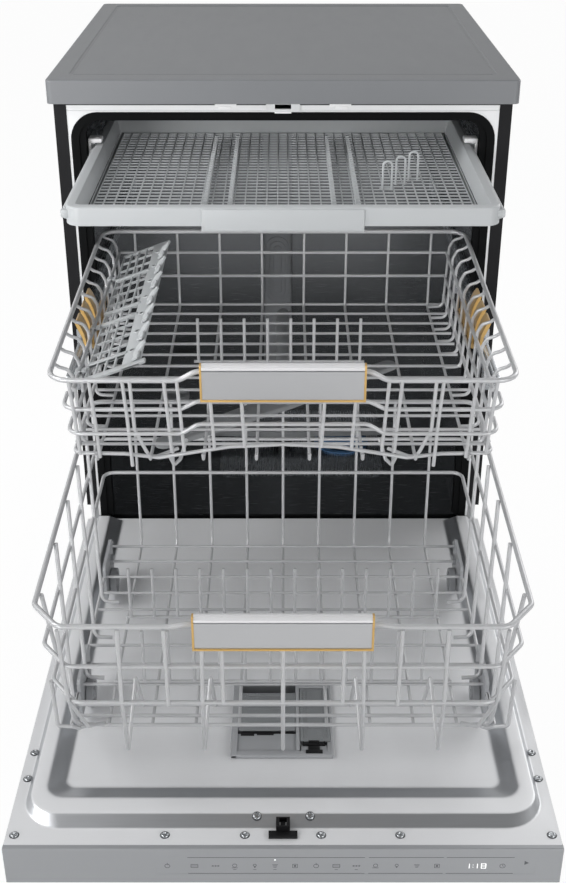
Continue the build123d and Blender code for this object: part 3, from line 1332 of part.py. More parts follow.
def middle_front_panel():
    pieces = []
    step = HANDLE_HALF + 4
    outer = step + 22
    for index, z in enumerate(MIDDLE_TIER_Z):
        radius = RIM_WIRE if index == 0 else WALL_WIRE
        half = MIDDLE_RIM_HALF if index == 0 else MIDDLE_WALL_HALF + 12
        front = MIDDLE_FRONT + 2.5 * index
        high = z + MIDDLE_HANDLE_RISE - 2.5 * index
        corner = front + MIDDLE_CORNER + 8
        points = [
            (-half, corner, z), (-half, front, z), (-outer, front, z), (-step, front, high),
            (step, front, high), (outer, front, z), (half, front, z), (half, corner, z),
        ]
        pieces.append(wire(points, radius, 7 if index else MIDDLE_CORNER / 2))
    base = MIDDLE_FLOOR_Z + 6
    for number in range(8):
        x = MIDDLE_PITCH * number - MIDDLE_SPREAD
        raised = MIDDLE_HANDLE_RISE if abs(x) < step else 0
        y = MIDDLE_FRONT + RIM_WIRE + WALL_WIRE - WELD
        low = (x, MIDDLE_FRONT + 5 + 2 * WALL_WIRE - WELD, MIDDLE_TIER_Z[2])
        pieces.append(rod((x, y, MIDDLE_RIM_Z + raised), low, WALL_WIRE))
        pieces.append(rod(low, (x, low[1] + 4, base), WALL_WIRE))
        pieces.append(knot(low, WALL_WIRE))
    return weld(pieces)


def middle_side_panel(side):
    front = MIDDLE_FRONT + MIDDLE_CORNER + 8 + PANEL_GAP
    rear = MIDDLE_BACK
    rim_z = (MIDDLE_RIM_Z, MIDDLE_RIM_Z + MIDDLE_RIM_RISE)
    pieces = [rod((MIDDLE_RIM_HALF, front, rim_z[0]), (MIDDLE_RIM_HALF, rear, rim_z[1]), RIM_WIRE)]
    for z in MIDDLE_SIDE_Z:
        pieces.append(rod((MIDDLE_WALL_HALF, front, z), (MIDDLE_WALL_HALF, rear, z), WALL_WIRE))
    count = int((rear - front - 20) / FINGER_PITCH) + 1
    for number in range(count):
        y = front + 12 + FINGER_PITCH * number
        rim = MIDDLE_RIM_Z + MIDDLE_RIM_RISE * (y - front) / (rear - front)
        points = [
            (MIDDLE_RIM_HALF - RIM_WIRE, y, rim),
            (MIDDLE_WALL_HALF + 8, y, MIDDLE_SIDE_Z[0] + 14),
            (MIDDLE_WALL_HALF - WALL_WIRE, y, MIDDLE_SIDE_Z[0] + 4),
            (MIDDLE_WALL_HALF - WALL_WIRE, y, MIDDLE_FLOOR_Z + FLOOR_WIRE + KNOT + SEAT),
        ]
        pieces.append(wire(points, FLOOR_WIRE, 4))
    panel = weld(pieces)
    return panel if side > 0 else mirrored(panel)


def middle_back_panel():
    y = MIDDLE_BACK + RIM_WIRE + PANEL_GAP
    half = MIDDLE_RIM_HALF - RIM_WIRE
    top = MIDDLE_RIM_Z + MIDDLE_RIM_RISE
    inner = MIDDLE_WALL_HALF - 4
    pieces = [rod((-half, y, top), (half, y, top), RIM_WIRE)]
    for z in MIDDLE_SIDE_Z[:2]:
        pieces.append(rod((-inner, y, z), (inner, y, z), WALL_WIRE))
    for number in range(8):
        x = MIDDLE_PITCH * number - MIDDLE_SPREAD
        pieces.append(rod((x, y + UPRIGHT_STEP, MIDDLE_FLOOR_Z + 6), (x, y + UPRIGHT_STEP, top - WELD), WALL_WIRE))
    return weld(pieces)


def middle_floor_panel():
    pieces = []
    front = MIDDLE_FRONT + 14
    rear = MIDDLE_BACK - 2
    half = MIDDLE_WALL_HALF - WALL_WIRE
    along_z = MIDDLE_FLOOR_Z - 2 * FLOOR_WIRE + WELD
    count = 13
    for number in range(count):
        y = front + 8 + (rear - front - 16) * number / (count - 1)
        pieces.append(rod((WELD - half, y, MIDDLE_FLOOR_Z), (half - WELD, y, MIDDLE_FLOOR_Z), FLOOR_WIRE))
    for number in range(8):
        x = MIDDLE_PITCH * number - MIDDLE_SPREAD
        pieces.append(rod((x, front, along_z), (x, rear, along_z), FLOOR_WIRE))
    for x in (-half, half):
        pieces.append(rod((x, front + 4, MIDDLE_FLOOR_Z), (x, rear - 4, MIDDLE_FLOOR_Z), FLOOR_WIRE + KNOT))
    pieces += tine_eyes(MIDDLE_EYES, MIDDLE_TINE_Y, along_z, middle_tine_z())
    return weld(pieces)


def middle_basket():
    return [
        middle_floor_panel(),
        middle_front_panel(),
        middle_back_panel(),
        middle_side_panel(-1),
        middle_side_panel(1),
    ]


def member_outer():
    """Outer face of the rail member that is fixed to the middle basket."""
    return slide_outer() - SLIDE_THICKNESS - SLIDE_CLEAR


def rail_carriers():
    outer = member_outer()
    inner = MIDDLE_WALL_HALF + WALL_WIRE + SEAT
    z = (RAIL_Z - MEMBER_HEIGHT / 2, RAIL_Z + MEMBER_HEIGHT / 2)
    pieces = [span((outer - MEMBER_THICKNESS, outer), (MEMBER_FRONT, MEMBER_REAR), z)]
    for y in (POST_FRONT_Y, POST_REAR_Y):
        pieces.append(span((inner, outer - 1), (y - POST_WIDTH / 2, y + POST_WIDTH / 2), (LEVER_BOTTOM - 4, z[1])))
    x = lever_x()
    pivot = lever_pivot_z()
    pieces.append(rod((x, POST_FRONT_Y, pivot), (x, POST_REAR_Y, pivot), LEVER_PIN))
    carrier = weld(pieces)
    return [carrier, mirrored(carrier)]


def lever_x():
    """Distance of a height lever's pin from the centre plane."""
    return MIDDLE_WALL_HALF + WALL_WIRE + 2.0 + LEVER_THICKNESS / 2


def lever_pivot_z():
    """Height of the pin on which a height lever turns."""
    return LEVER_BOTTOM + 3.5


def height_lever(side):
    x = lever_x()
    y = (POST_FRONT_Y + POST_WIDTH / 2 + SEAT, POST_REAR_Y - POST_WIDTH / 2 - SEAT)
    half = LEVER_THICKNESS / 2
    pivot = lever_pivot_z()
    plate = span((x - half, x + half), y, (pivot, LEVER_TOP))
    barrel = rod((x, y[0], pivot), (x, y[1], pivot), LEVER_PIN + 1.7)
    ribs = []
    for number in range(4):
        rib_z = LEVER_TOP - 4 - 4 * number
        ribs.append(span((x, x + half + 0.8), (y[0] + 8, y[1] - 8), (rib_z - 0.8, rib_z + 0.8)))
    lever = weld([plate, barrel, *ribs])
    lever -= rod((x, y[0] - 1, pivot), (x, y[1] + 1, pivot), LEVER_PIN + RUNNING)
    return lever if side > 0 else mirrored(lever)


def middle_feed_tube():
    port = TUB_BACK - SEAT - DUCT_DEPTH - PORT_LENGTH
    rear = port - SEAT - MIDDLE_TRAVEL
    tube = rod((0, MIDDLE_ARM_Y, FEED_Z), (0, rear, FEED_Z), FEED_TUBE_RADIUS)
    hub_bottom = MIDDLE_ARM_TOP + SEAT
    hub_top = MIDDLE_FLOOR_Z - FLOOR_WIRE - SEAT
    hub = upright_cylinder(0, MIDDLE_ARM_Y, (hub_bottom, hub_top), 16)
    cap_top = MIDDLE_ARM_TOP - MIDDLE_ARM_THICKNESS - SEAT
    pin = upright_cylinder(0, MIDDLE_ARM_Y, (cap_top - 3, hub_bottom + 1), MIDDLE_PIN_RADIUS)
    cap = upright_cylinder(0, MIDDLE_ARM_Y, (cap_top - 3, cap_top), MIDDLE_PIN_RADIUS + 3)
    bore = rod((0, MIDDLE_ARM_Y + 20, FEED_Z), (0, rear + 1, FEED_Z), FEED_TUBE_BORE)
    return weld([tube, hub, pin, cap]) - bore


def middle_spray_arm():
    bottom = MIDDLE_ARM_TOP - MIDDLE_ARM_THICKNESS
    arm = spray_blade(MIDDLE_ARM_REACH, MIDDLE_ARM_WIDTH, MIDDLE_ARM_THICKNESS, bottom)
    arm -= upright_cylinder(0, 0, (bottom - 1, MIDDLE_ARM_TOP + 1), MIDDLE_PIN_RADIUS + RUNNING)
    arm -= jets(MIDDLE_ARM_REACH, MIDDLE_ARM_WIDTH, MIDDLE_ARM_TOP, 5)
    return Pos(0, MIDDLE_ARM_Y, 0) * Rot(0, 0, MIDDLE_ARM_ANGLE) * arm


def shelf_lug_places():
    """Y of the lugs by which the cup shelf hangs on the basket's side wire, between its fingers."""
    front = MIDDLE_FRONT + MIDDLE_CORNER + 8 + PANEL_GAP + 12
    return [front + FINGER_PITCH * (number + 0.5) for number in (1, 4, 8)]


def cup_shelf():
    """Tilted lattice shelf along the left side of the middle basket, with a toothed inner edge."""
    start = SHELF_LUG + SHELF_STANDOFF
    x = (start, start + SHELF_WIDTH)
    y = (SHELF_FRONT, SHELF_REAR)
    half = SHELF_THICKNESS / 2
    plate = span(x, y, (-half, half))
    cell_x = (SHELF_WIDTH - SHELF_BAR) / SHELF_CELLS_WIDE
    cell_y = (y[1] - y[0] - SHELF_BAR) / SHELF_CELLS_LONG
    hole = Box(cell_x - SHELF_BAR, cell_y - SHELF_BAR, 2 * SHELF_THICKNESS)
    holes = []
    for column in range(SHELF_CELLS_WIDE):
        for row in range(SHELF_CELLS_LONG):
            place = (
                x[0] + SHELF_BAR / 2 + cell_x * (column + 0.5),
                y[0] + SHELF_BAR / 2 + cell_y * (row + 0.5),
                0,
            )
            holes.append(Pos(*place) * hole)
    plate -= holes
    teeth = []
    pitch = (y[1] - y[0]) / SHELF_TEETH
    for number in range(SHELF_TEETH):
        foot = y[0] + pitch * number
        outline = Polyline((foot, -half), (foot + pitch - 2, -half), (foot + pitch - 2, 11), (foot, half), close=True)
        tooth = extrude(make_face(Plane.YZ * outline), amount=SHELF_BAR, dir=(1, 0, 0))
        teeth.append(Pos(x[1] - SHELF_BAR, 0, 0) * tooth)
    lugs = []
    for lug_y in shelf_lug_places():
        ends = (lug_y - SHELF_LUG_WIDTH / 2, lug_y + SHELF_LUG_WIDTH / 2)
        lugs.append(rod((0, ends[0], 0), (0, ends[1], 0), SHELF_LUG))
        lugs.append(span((0, x[0] + 1), ends, (-half, half)))
    shelf = weld([plate, *teeth, *lugs])
    shelf -= rod((0, y[0], 0), (0, y[1], 0), WALL_WIRE + RUNNING)
    return Pos(-MIDDLE_WALL_HALF, 0, MIDDLE_SIDE_Z[0]) * Rot(0, -SHELF_TILT, 0) * shelf


def middle_tine_z():
    """Height of the middle basket's folding row, just above its floor wires."""
    return MIDDLE_FLOOR_Z + FLOOR_WIRE + TINE_WIRE + SEAT


def middle_tines():
    z = middle_tine_z()
    return tine_row(MIDDLE_TINE_Y, z, MIDDLE_TINE_LEFT, MIDDLE_TINE_RIGHT, MIDDLE_TINE_COUNT, MIDDLE_TINE_HEIGHT)


# Cutlery tray


def cutlery_tray():
    z = (TRAY_TOP - TRAY_HEIGHT, TRAY_TOP)
    frame = flat_plate((-TRAY_HALF, TRAY_HALF), (TRAY_FRONT, TRAY_BACK), z, TRAY_CORNER)
    frame = fillet(frame.faces().sort_by(Axis.Z)[-1].edges(), 3)
    inner = TRAY_HALF - TRAY_RIM
    frame -= flat_plate(
        (-inner, inner), (TRAY_FRONT + TRAY_RIM, TRAY_BACK - TRAY_RIM), (z[0] - 1, z[1] + 1), TRAY_CORNER - 12
    )
    grip = span(
        (-TRAY_GRIP_HALF, TRAY_GRIP_HALF),
        (TRAY_FRONT - TRAY_GRIP_PROUD, TRAY_FRONT + 4),
        (z[0] - TRAY_GRIP_DROP, z[1] - 5),
    )
    rail_inner = TUB_HALF - SEAT - TRAY_RAIL_DEPTH
    middle = (z[0] + z[1]) / 2
    shoe_half = TRAY_HEIGHT / 2 - TRAY_RAIL_WEB - SHOE_CLEAR
    pieces = [frame, grip]
    for inset in TRAY_SHOE_INSETS:
        shoe_y = TRAY_BACK - inset
        y = (shoe_y - TRAY_SHOE_LENGTH / 2, shoe_y + TRAY_SHOE_LENGTH / 2)
        pieces += both(rail_inner + SHOE_CLEAR, slide_outer(), y, (middle - shoe_half, middle + shoe_half))
        pieces += both(TRAY_HALF - 1, rail_inner + 1, y, (middle - 4, middle + 4))
    return weld(pieces)


def tray_floor_z():
    """Underside of the tray's grid."""
    return TRAY_TOP - TRAY_HEIGHT + 1.0


def tray_grid():
    inner = TRAY_HALF - TRAY_RIM - SEAT
    y = (TRAY_FRONT + TRAY_RIM + SEAT, TRAY_BACK - TRAY_RIM - SEAT)
    z = tray_floor_z()
    face = Pos(0, (y[0] + y[1]) / 2) * RectangleRounded(2 * inner, y[1] - y[0], TRAY_CORNER - 12)
    margin = 8.0
    pitch_x = (2 * inner - 2 * margin) / GRID_ACROSS
    pitch_y = (y[1] - y[0] - 2 * margin) / GRID_ALONG
    places = Pos(0, (y[0] + y[1]) / 2) * GridLocations(pitch_x, pitch_y, GRID_ACROSS, GRID_ALONG)
    hole = Rectangle(pitch_x - GRID_BAR, pitch_y - GRID_BAR)
    sheet = Face(face.wire(), [(place * hole).wire() for place in places])
    return [Pos(0, 0, z) * extrude(sheet, amount=GRID_THICKNESS), *tray_tines()]


def tray_combs():
    z = tray_floor_z() + GRID_THICKNESS + SEAT
    combs = []
    for x in COMB_X:
        pieces = [span((x - COMB_WIDTH / 2, x + COMB_WIDTH / 2), (COMB_FRONT, COMB_REAR), (z, z + COMB_HEIGHT - COMB_TOOTH))]
        pitch = (COMB_REAR - COMB_FRONT) / COMB_TEETH
        for number in range(COMB_TEETH):
            y = COMB_FRONT + pitch * number
            pieces.append(span(
                (x - COMB_WIDTH / 2, x + COMB_WIDTH / 2), (y, y + pitch * 0.45), (z + 1, z + COMB_HEIGHT)
            ))
        combs.append(weld(pieces))
    return combs


def tray_tines():
    z = tray_floor_z() + GRID_THICKNESS + SEAT
    pins = []
    for x, y in zip(HAIRPIN_X, HAIRPIN_Y):
        half = HAIRPIN_WIDTH / 2
        top = z + HAIRPIN_HEIGHT
        points = [(x - half, y, z), (x - half, y, top), (x + half, y, top), (x + half, y, z)]
        foot = span((x - 14, x + 14), (y - 2.5, y + 2.5), (z, z + 1.6))
        pins.append(weld([wire(points, 1.5, half - 0.5), foot]))
    return pins


NODES = {
    "worktop": worktop,
    "side_panel_left": lambda: side_panel(-1),
    "side_panel_right": lambda: side_panel(1),
    "rear_panel": rear_panel,
    "base_pan": base_pan,
    "levelling_feet": levelling_feet,
    "plinth": plinth,
    "counterweight": counterweight,
    "tub": tub,
    "tub_gasket": tub_gasket,
    "door_strike": door_strike,
    "feed_duct": feed_duct,
    "sump": sump,
    "filter_plate": filter_plate,
    "filter_cup": filter_cup,
    "circulation_pump": circulation_pump,
    "pump_impeller": pump_impeller,
    "drain_pump": drain_pump,
    "softener": softener,
    "salt_cap": salt_cap,
    "inlet_valve": inlet_valve,
    "rack_rails": rack_rails,
    "rail_slides": rail_slides,
    "tray_rails": tray_rails,
    "hinge_brackets": hinge_brackets,
    "lower_spray_arm": lower_spray_arm,
    "top_spray_arm": top_spray_arm,
    "door_outer_panel": door_outer_panel,
    "door_inner_panel": door_inner_panel,
    "door_screws": door_screws,
    "control_fascia": control_fascia,
    "display_window": display_window,
    "control_board": control_board,
    "door_latch": door_latch,
    "latch_hook": latch_hook,
    "dispenser_housing": dispenser_housing,
    "detergent_lid": detergent_lid,
    "rinse_aid_lid": rinse_aid_lid,
    "hinge_arms": hinge_arms,
    "lower_basket": lower_basket,
    "lower_handle": lambda: handle(LOWER_FRONT, LOWER_RIM_Z),
    "lower_handle_trim": lambda: handle_trim(LOWER_FRONT, LOWER_RIM_Z),
    "wheel_carriers": wheel_carriers,
    "lower_wheels_front": lambda: lower_wheels(WHEEL_FRONT_Y),
    "lower_wheels_rear": lambda: lower_wheels(WHEEL_REAR_Y),
    "lower_tines_front": lambda: lower_tines(LOWER_TINE_FRONT_Y),
    "lower_tines_rear": lambda: lower_tines(LOWER_TINE_REAR_Y),
    "middle_basket": middle_basket,
    "middle_handle": lambda: handle(MIDDLE_FRONT, MIDDLE_RIM_Z),
    "middle_handle_trim": lambda: handle_trim(MIDDLE_FRONT, MIDDLE_RIM_Z),
    "middle_feed_tube": middle_feed_tube,
    "middle_spray_arm": middle_spray_arm,
    "rail_carriers": rail_carriers,
    "height_lever_left": lambda: height_lever(-1),
    "height_lever_right": lambda: height_lever(1),
    "cup_shelf": cup_shelf,
    "middle_tines": middle_tines,
    "cutlery_tray": cutlery_tray,
    "tray_grid": tray_grid,
    "tray_combs": tray_combs,
}


def solids_of(made):
    """The separate solids of a node, whichever form its function returned."""
    shapes = made if isinstance(made, list) else [made]
    return [solid for shape in shapes for solid in shape.solids()]


def main():
    os.makedirs("parts", exist_ok=True)
    for name, make in NODES.items():
        solids = [Pos(0, ORIGIN_SHIFT, 0) * solid for solid in solids_of(make())]
        shape = solids[0] if len(solids) == 1 else Compound(children=solids)
        shape.label = name
        export_step(shape, f"parts/{name}.step")
        print(name, len(solids))


if __name__ == "__main__":
    main()
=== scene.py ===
"""Freestanding dishwasher: door lying open, cutlery tray and both baskets drawn out."""
import json
from math import cos, pi, radians, sin, tan

import bmesh
import bpy
from mathutils import Matrix, Vector

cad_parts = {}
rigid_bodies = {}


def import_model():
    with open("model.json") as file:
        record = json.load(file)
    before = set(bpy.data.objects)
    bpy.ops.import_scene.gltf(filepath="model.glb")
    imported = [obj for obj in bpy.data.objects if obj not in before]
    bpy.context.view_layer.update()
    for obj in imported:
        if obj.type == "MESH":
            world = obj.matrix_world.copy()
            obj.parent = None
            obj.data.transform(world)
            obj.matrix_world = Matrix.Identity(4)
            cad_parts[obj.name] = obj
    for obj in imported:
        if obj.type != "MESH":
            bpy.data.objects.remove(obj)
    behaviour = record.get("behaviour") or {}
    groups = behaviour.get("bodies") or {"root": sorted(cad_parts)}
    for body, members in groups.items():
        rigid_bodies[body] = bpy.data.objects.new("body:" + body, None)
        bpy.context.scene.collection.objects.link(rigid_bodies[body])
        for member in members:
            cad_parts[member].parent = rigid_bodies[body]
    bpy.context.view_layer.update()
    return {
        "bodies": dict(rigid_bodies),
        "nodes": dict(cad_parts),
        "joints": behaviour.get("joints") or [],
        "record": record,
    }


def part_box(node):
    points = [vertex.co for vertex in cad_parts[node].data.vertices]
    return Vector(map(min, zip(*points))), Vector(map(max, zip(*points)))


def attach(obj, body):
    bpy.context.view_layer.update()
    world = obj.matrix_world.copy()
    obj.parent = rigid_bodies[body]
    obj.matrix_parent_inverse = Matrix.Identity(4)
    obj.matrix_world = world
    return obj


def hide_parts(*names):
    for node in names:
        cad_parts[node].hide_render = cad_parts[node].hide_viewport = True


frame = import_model()

bl_info = {
    "name": "Dishwasher dressing",
    "version": (1, 0, 0),
    "blender": (4, 5, 0),
    "location": "View3D > Sidebar > Dishwasher",
    "description": "Finishes and detailed pieces for a freestanding dishwasher",
    "category": "Object",
}

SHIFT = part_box("worktop")[0][1] * 1000  # Y of the worktop's front edge, in millimetres
DUCT_DEPTH = 15.8
DUCT_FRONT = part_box("feed_duct")[1][1] * 1000 - SHIFT - DUCT_DEPTH
STRIP_END = (35 + SHIFT) / 1000
# The collar in front of this Y is painted pale: a painted reflection on the tub's steel.
COLLAR_END = (29.6 + SHIFT) / 1000
STRIKER_PLATE_END = (27.85 + SHIFT) / 1000
# Height above which the crossbar is painted dark: painted shade under the worktop's overhang.
STRIKER_SHADE_FROM = 0.8073
# Heights of the door's pressed slopes, which carry painted shade.
RIDGE_SLOPE = (0.1817, 0.1898)
CAMERA_PLACE = (0, -1621.88, 1187.6)
CAMERA_DIP = 28.303  # degrees below level
CAMERA_SHIFT = 0.00963
# Heights of the handles' rounded tops, which carry a painted highlight.
HANDLE_HIGHLIGHT_BANDS = ((0.4499, 0.4575), (0.6257, 0.6333))
ROLLED_LINES = (0.02, 1, 1)  # noise drawn out along X


def at(x, y, z):
    """A point in metres in the shared frame, from the machine's millimetres."""
    return Vector((x, y + SHIFT, z)) / 1000


def tone(code):
    """Linear colour of a six-figure hexadecimal screen colour."""
    parts = [int(code[i:i + 2], 16) / 255 for i in (0, 2, 4)]
    return tuple(p / 12.92 if p <= 0.04045 else ((p + 0.055) / 1.055) ** 2.4 for p in parts)


def colour(label, note, code):
    """A colour that the user can change."""
    return bpy.props.FloatVectorProperty(
        name=label, description=note, default=tone(code), size=3, min=0, max=1, subtype="COLOR")


class DishwasherColours(bpy.types.PropertyGroup):
    """Colours of the finishes."""
    worktop: colour("Worktop", "Satin worktop", "737578")
    cabinet: colour("Cabinet", "Painted side panels", "a9abad")
    strip: colour("Front strips", "Dark strips beside the tub", "1b1b1d")
    # The collar's pale colour stands for its bright reflection: a painted reflection.
    collar: colour("Collar", "Pale collar round the opening", "e4e5e6")
    steel: colour("Steel", "Inner door", "e2e3e5")
    tub: colour("Tub", "Steel inside the tub", "8e9092")
    fascia: colour("Fascia", "Control fascia and outer door", "a3a5a8")
    wire: colour("Coated wire", "Nylon coated basket wire", "bcbdbf")
    tray: colour("Tray plastic", "Cutlery tray", "b0b3b5")
    grey: colour("Grey plastic", "Dispenser and small parts", "9a9c9f")
    black: colour("Black plastic", "Latch and base pan", "131315")
    gold: colour("Gold", "Handle trim and height levers", "cba665")
    handle: colour("Handles", "Brushed aluminium handles", "c3c4c6")
    arm: colour("Spray arms", "Spray arm plastic", "77797b")


class DishwasherSizes(bpy.types.PropertyGroup):
    """Sizes that a user would change."""
    wire_sides: bpy.props.IntProperty(
        name="Wire roundness", description="Steps round each wire", default=3, min=1, max=8)
    camera_lens: bpy.props.FloatProperty(
        name="Lens", description="Focal length of the camera in millimetres", default=51.305, min=10)


class Value:
    """A shader socket that takes part in sums."""

    def __init__(self, paint, socket):
        self.paint = paint
        self.socket = socket

    def maths(self, kind, first, second):
        return self.paint.node("ShaderNodeMath", {"operation": kind}, {0: first, 1: second})

    def __add__(self, other):
        return self.maths("ADD", self, other)

    def __radd__(self, other):
        return self.maths("ADD", other, self)

    def __sub__(self, other):
        return self.maths("SUBTRACT", self, other)

    def __rsub__(self, other):
        return self.maths("SUBTRACT", other, self)

    def __mul__(self, other):
        return self.maths("MULTIPLY", self, other)

    def __gt__(self, other):
        return self.maths("GREATER_THAN", self, other)

    def __lt__(self, other):
        return self.maths("LESS_THAN", self, other)

    def clamp(self):
        made = self.maths("ADD", self, 0.0)
        made.socket.node.use_clamp = True
        return made


class Nodes:
    """The one way that shader nodes are made and joined."""

    def __init__(self, tree):
        self.tree = tree

    def node(self, kind, settings=None, inputs=None, output=0):
        made = self.tree.nodes.new(kind)
        for key, value in (settings or {}).items():
            if key == "stops":
                for number, (where, shade) in enumerate(value):
                    ramp = made.color_ramp.elements
                    stop = ramp[number] if number < 2 else ramp.new(where)
                    stop.position = where
                    stop.color = (*shade, 1.0)
            else:
                setattr(made, key, value)
        for key, value in (inputs or {}).items():
            self.feed(made.inputs[key], value)
        return Value(self, made.outputs[output])

    def feed(self, socket, value):
        if isinstance(value, Value):
            self.tree.links.new(value.socket, socket)
        elif hasattr(socket.default_value, "__len__") and len(value) < len(socket.default_value):
            socket.default_value = (*value, 1.0)
        else:
            socket.default_value = value


class Paint(Nodes):
    """One material with its principled shader."""

    def __init__(self, name):
        self.material = bpy.data.materials.new(name)
        self.material.use_nodes = True
        super().__init__(self.material.node_tree)
        self.shader = self.tree.nodes["Principled BSDF"]

    def place(self):
        return self.node("ShaderNodeTexCoord", output=3)

    def axis(self, name):
        return self.node("ShaderNodeSeparateXYZ", inputs={0: self.place()}, output="XYZ".index(name))

    def stretched(self, scale):
        return self.node("ShaderNodeMapping", inputs={"Vector": self.place(), "Scale": scale})

    def noise(self, scale, detail=2.0, stretch=(1, 1, 1)):
        values = {"Vector": self.stretched(stretch), "Scale": scale, "Detail": detail}
        return self.node("ShaderNodeTexNoise", inputs=values)

    def mix(self, share, first, second):
        settings = {"data_type": "RGBA"}
        return self.node("ShaderNodeMix", settings, {0: share, 6: first, 7: second}, 2)

    def tint(self, base, share, swing):
        """The base colour, lighter and darker by swing as share goes from 0 to 1."""
        dark = tuple(c * (1 - swing) for c in base)
        light = tuple(min(1.0, c * (1 + swing)) for c in base)
        return self.mix(share, dark, light)

    def bump(self, height, depth):
        return self.node("ShaderNodeBump", inputs={"Height": height, "Distance": depth, "Strength": 1.0})

    def set(self, **values):
        for key, value in values.items():
            self.feed(self.shader.inputs[key.replace("_", " ")], value)
        return self.material


def brushed(name, base, rough, direction, metallic=1.0, swing=0.06):
    """Metal with fine rolling lines along one direction."""
    paint = Paint(name)
    stretch = tuple(0.02 if axis == direction else 1.0 for axis in "XYZ")
    lines = paint.noise(1400, 3, stretch)
    clouds = paint.noise(3.2, 4)
    smudge = paint.noise(28, 5)
    shade = paint.tint(base, lines * 0.45 + clouds * 0.4 + smudge * 0.15, swing)
    roughness = rough - 0.06 + lines * 0.08 + smudge * 0.06
    return paint.set(Base_Color=shade, Roughness=roughness, Metallic=metallic,
                     Normal=paint.bump(lines, 0.00004))


def moulded(name, base, rough, grain, depth, swing, metallic=0.0, coat=0.0, level=0.5):
    """Plastic or paint with a fine cast grain and faint clouding."""
    paint = Paint(name)
    sheen(paint, level)
    fine = paint.noise(grain, 3)
    clouds = paint.noise(9, 4)
    scuff = paint.noise(60, 6, (1, 0.25, 1))
    shade = paint.tint(base, clouds * 0.6 + fine * 0.25 + scuff * 0.15, swing)
    roughness = rough - 0.05 + fine * 0.06 + scuff * 0.06
    return paint.set(Base_Color=shade, Roughness=roughness, Metallic=metallic, Coat_Weight=coat,
                     Coat_Roughness=0.12, Normal=paint.bump(fine, depth))


def sheen(paint, level):
    """How strongly a surface that isn't metal mirrors, the same all over."""
    paint.shader.inputs["Specular IOR Level"].default_value = level


def two_tone(name, base, other, split, rough):
    """Painted sheet whose front edge, nearer than split along Y, is dark."""
    paint = Paint(name)
    fine = paint.noise(700, 3)
    clouds = paint.noise(6, 4)
    front = paint.axis("Y") < split
    side = paint.tint(base, clouds * 0.6 + fine * 0.4, 0.04)
    shade = paint.mix(front, side, paint.tint(other, clouds, 0.12))
    sheen(paint, 0.15)
    return paint.set(Base_Color=shade, Roughness=rough - 0.04 + fine * 0.08, Metallic=0.0,
                     Normal=paint.bump(fine, 0.00003))


def steel_with_painted_collar_reflection(name, base, collar, split):
    """Steel behind split along Y; in front of it the collar, painted pale and nearly matt, a painted
    reflection on its steel.
    """
    paint = Paint(name)
    lines = paint.noise(1400, 3, ROLLED_LINES)
    clouds = paint.noise(3.2, 4)
    # In front of split the steel is painted pale and nearly matt: a painted reflection.
    front = paint.axis("Y") < split
    steel = paint.tint(base, lines * 0.5 + clouds * 0.5, 0.08)
    shade = paint.mix(front, steel, paint.tint(collar, clouds, 0.03))
    return paint.set(Base_Color=shade, Roughness=0.22 + lines * 0.08 + front * 0.15,
                     Metallic=1.0 - front * 0.85, Normal=paint.bump(lines, 0.00003))


def handle_metal_with_painted_highlight(name, base, top, bands):
    """Brushed handle metal. On the tops between each pair of heights it is smoother, less metallic and
    painted paler: a painted highlight.
    """
    paint = Paint(name)
    lines = paint.noise(1400, 3, ROLLED_LINES)
    clouds = paint.noise(3.2, 4)
    height = paint.axis("Z")
    # The mask of the tops, where the paler colour is a painted highlight.
    painted_highlight = 0.0
    for low, high in bands:
        painted_highlight = ((height - low) * 3000.0).clamp() * ((high - height) * 3000.0).clamp() + painted_highlight
    flat = paint.tint(base, lines * 0.5 + clouds * 0.5, 0.05)
    shade = paint.mix(painted_highlight, flat, paint.tint(top, lines, 0.03))
    return paint.set(Base_Color=shade, Roughness=0.26 + lines * 0.1 - painted_highlight * 0.1,
                     Metallic=0.9 - painted_highlight * 0.55, Normal=paint.bump(lines, 0.00004))


def striker(name, plate, collar, split, top):
    """Bright striker plate, and behind split along Y the bar, pale like the collar as a painted reflection,
    and dark above top as painted shade under the worktop's overhang.
    """
    paint = Paint(name)
    fine = paint.noise(800, 3)
    behind = paint.axis("Y") > split
    # Painted shade: above this height the bar is dark, as under the worktop's overhang.
    shaded = paint.axis("Z") > top
    bar = paint.mix(shaded, paint.tint(collar, fine, 0.03), tone("1a1a1c"))
    return paint.set(Base_Color=paint.mix(behind, paint.tint(plate, fine, 0.08), bar),
                     Roughness=0.3 + fine * 0.1, Metallic=(1.0 - behind) * 0.2,
                     Normal=paint.bump(fine, 0.00003))


def pressed(name, base, flats, slopes):
    """Inner door: one steel painted as two copies, painted light and shade. The flats are pale, brushed and
    mostly matt; the pressed slopes between two heights are darker and mirror-like.
    """
    paint = Paint(name)
    lines = paint.noise(1400, 3, ROLLED_LINES)
    clouds = paint.noise(3.2, 4)
    smudge = paint.noise(28, 5)
    height = paint.axis("Z")
    # Painted shade: between these heights the steel turns darker and mirror-like.
    painted_slope_shade = ((height - slopes[0]) * 1500.0).clamp() * ((slopes[1] - height) * 1500.0).clamp()
    shade = paint.tint(base, lines * 0.45 + clouds * 0.4 + smudge * 0.15, 0.05)
    return paint.set(Base_Color=paint.mix(painted_slope_shade, shade, paint.tint(tone("c2c4c7"), lines, 0.05)),
                     Roughness=flats + lines * 0.08 + smudge * 0.05 - painted_slope_shade * 0.06,
                     Metallic=0.2 + painted_slope_shade * 0.8, Normal=paint.bump(lines, 0.00003))


def lamp_print(name, base):
    """Lit marks that shine through the panel."""
    paint = Paint(name)
    fine = paint.noise(600, 2)
    return paint.set(Base_Color=paint.tint(base, fine, 0.03), Roughness=0.4,
                     Emission_Color=paint.tint(base, fine, 0.05), Emission_Strength=0.5)


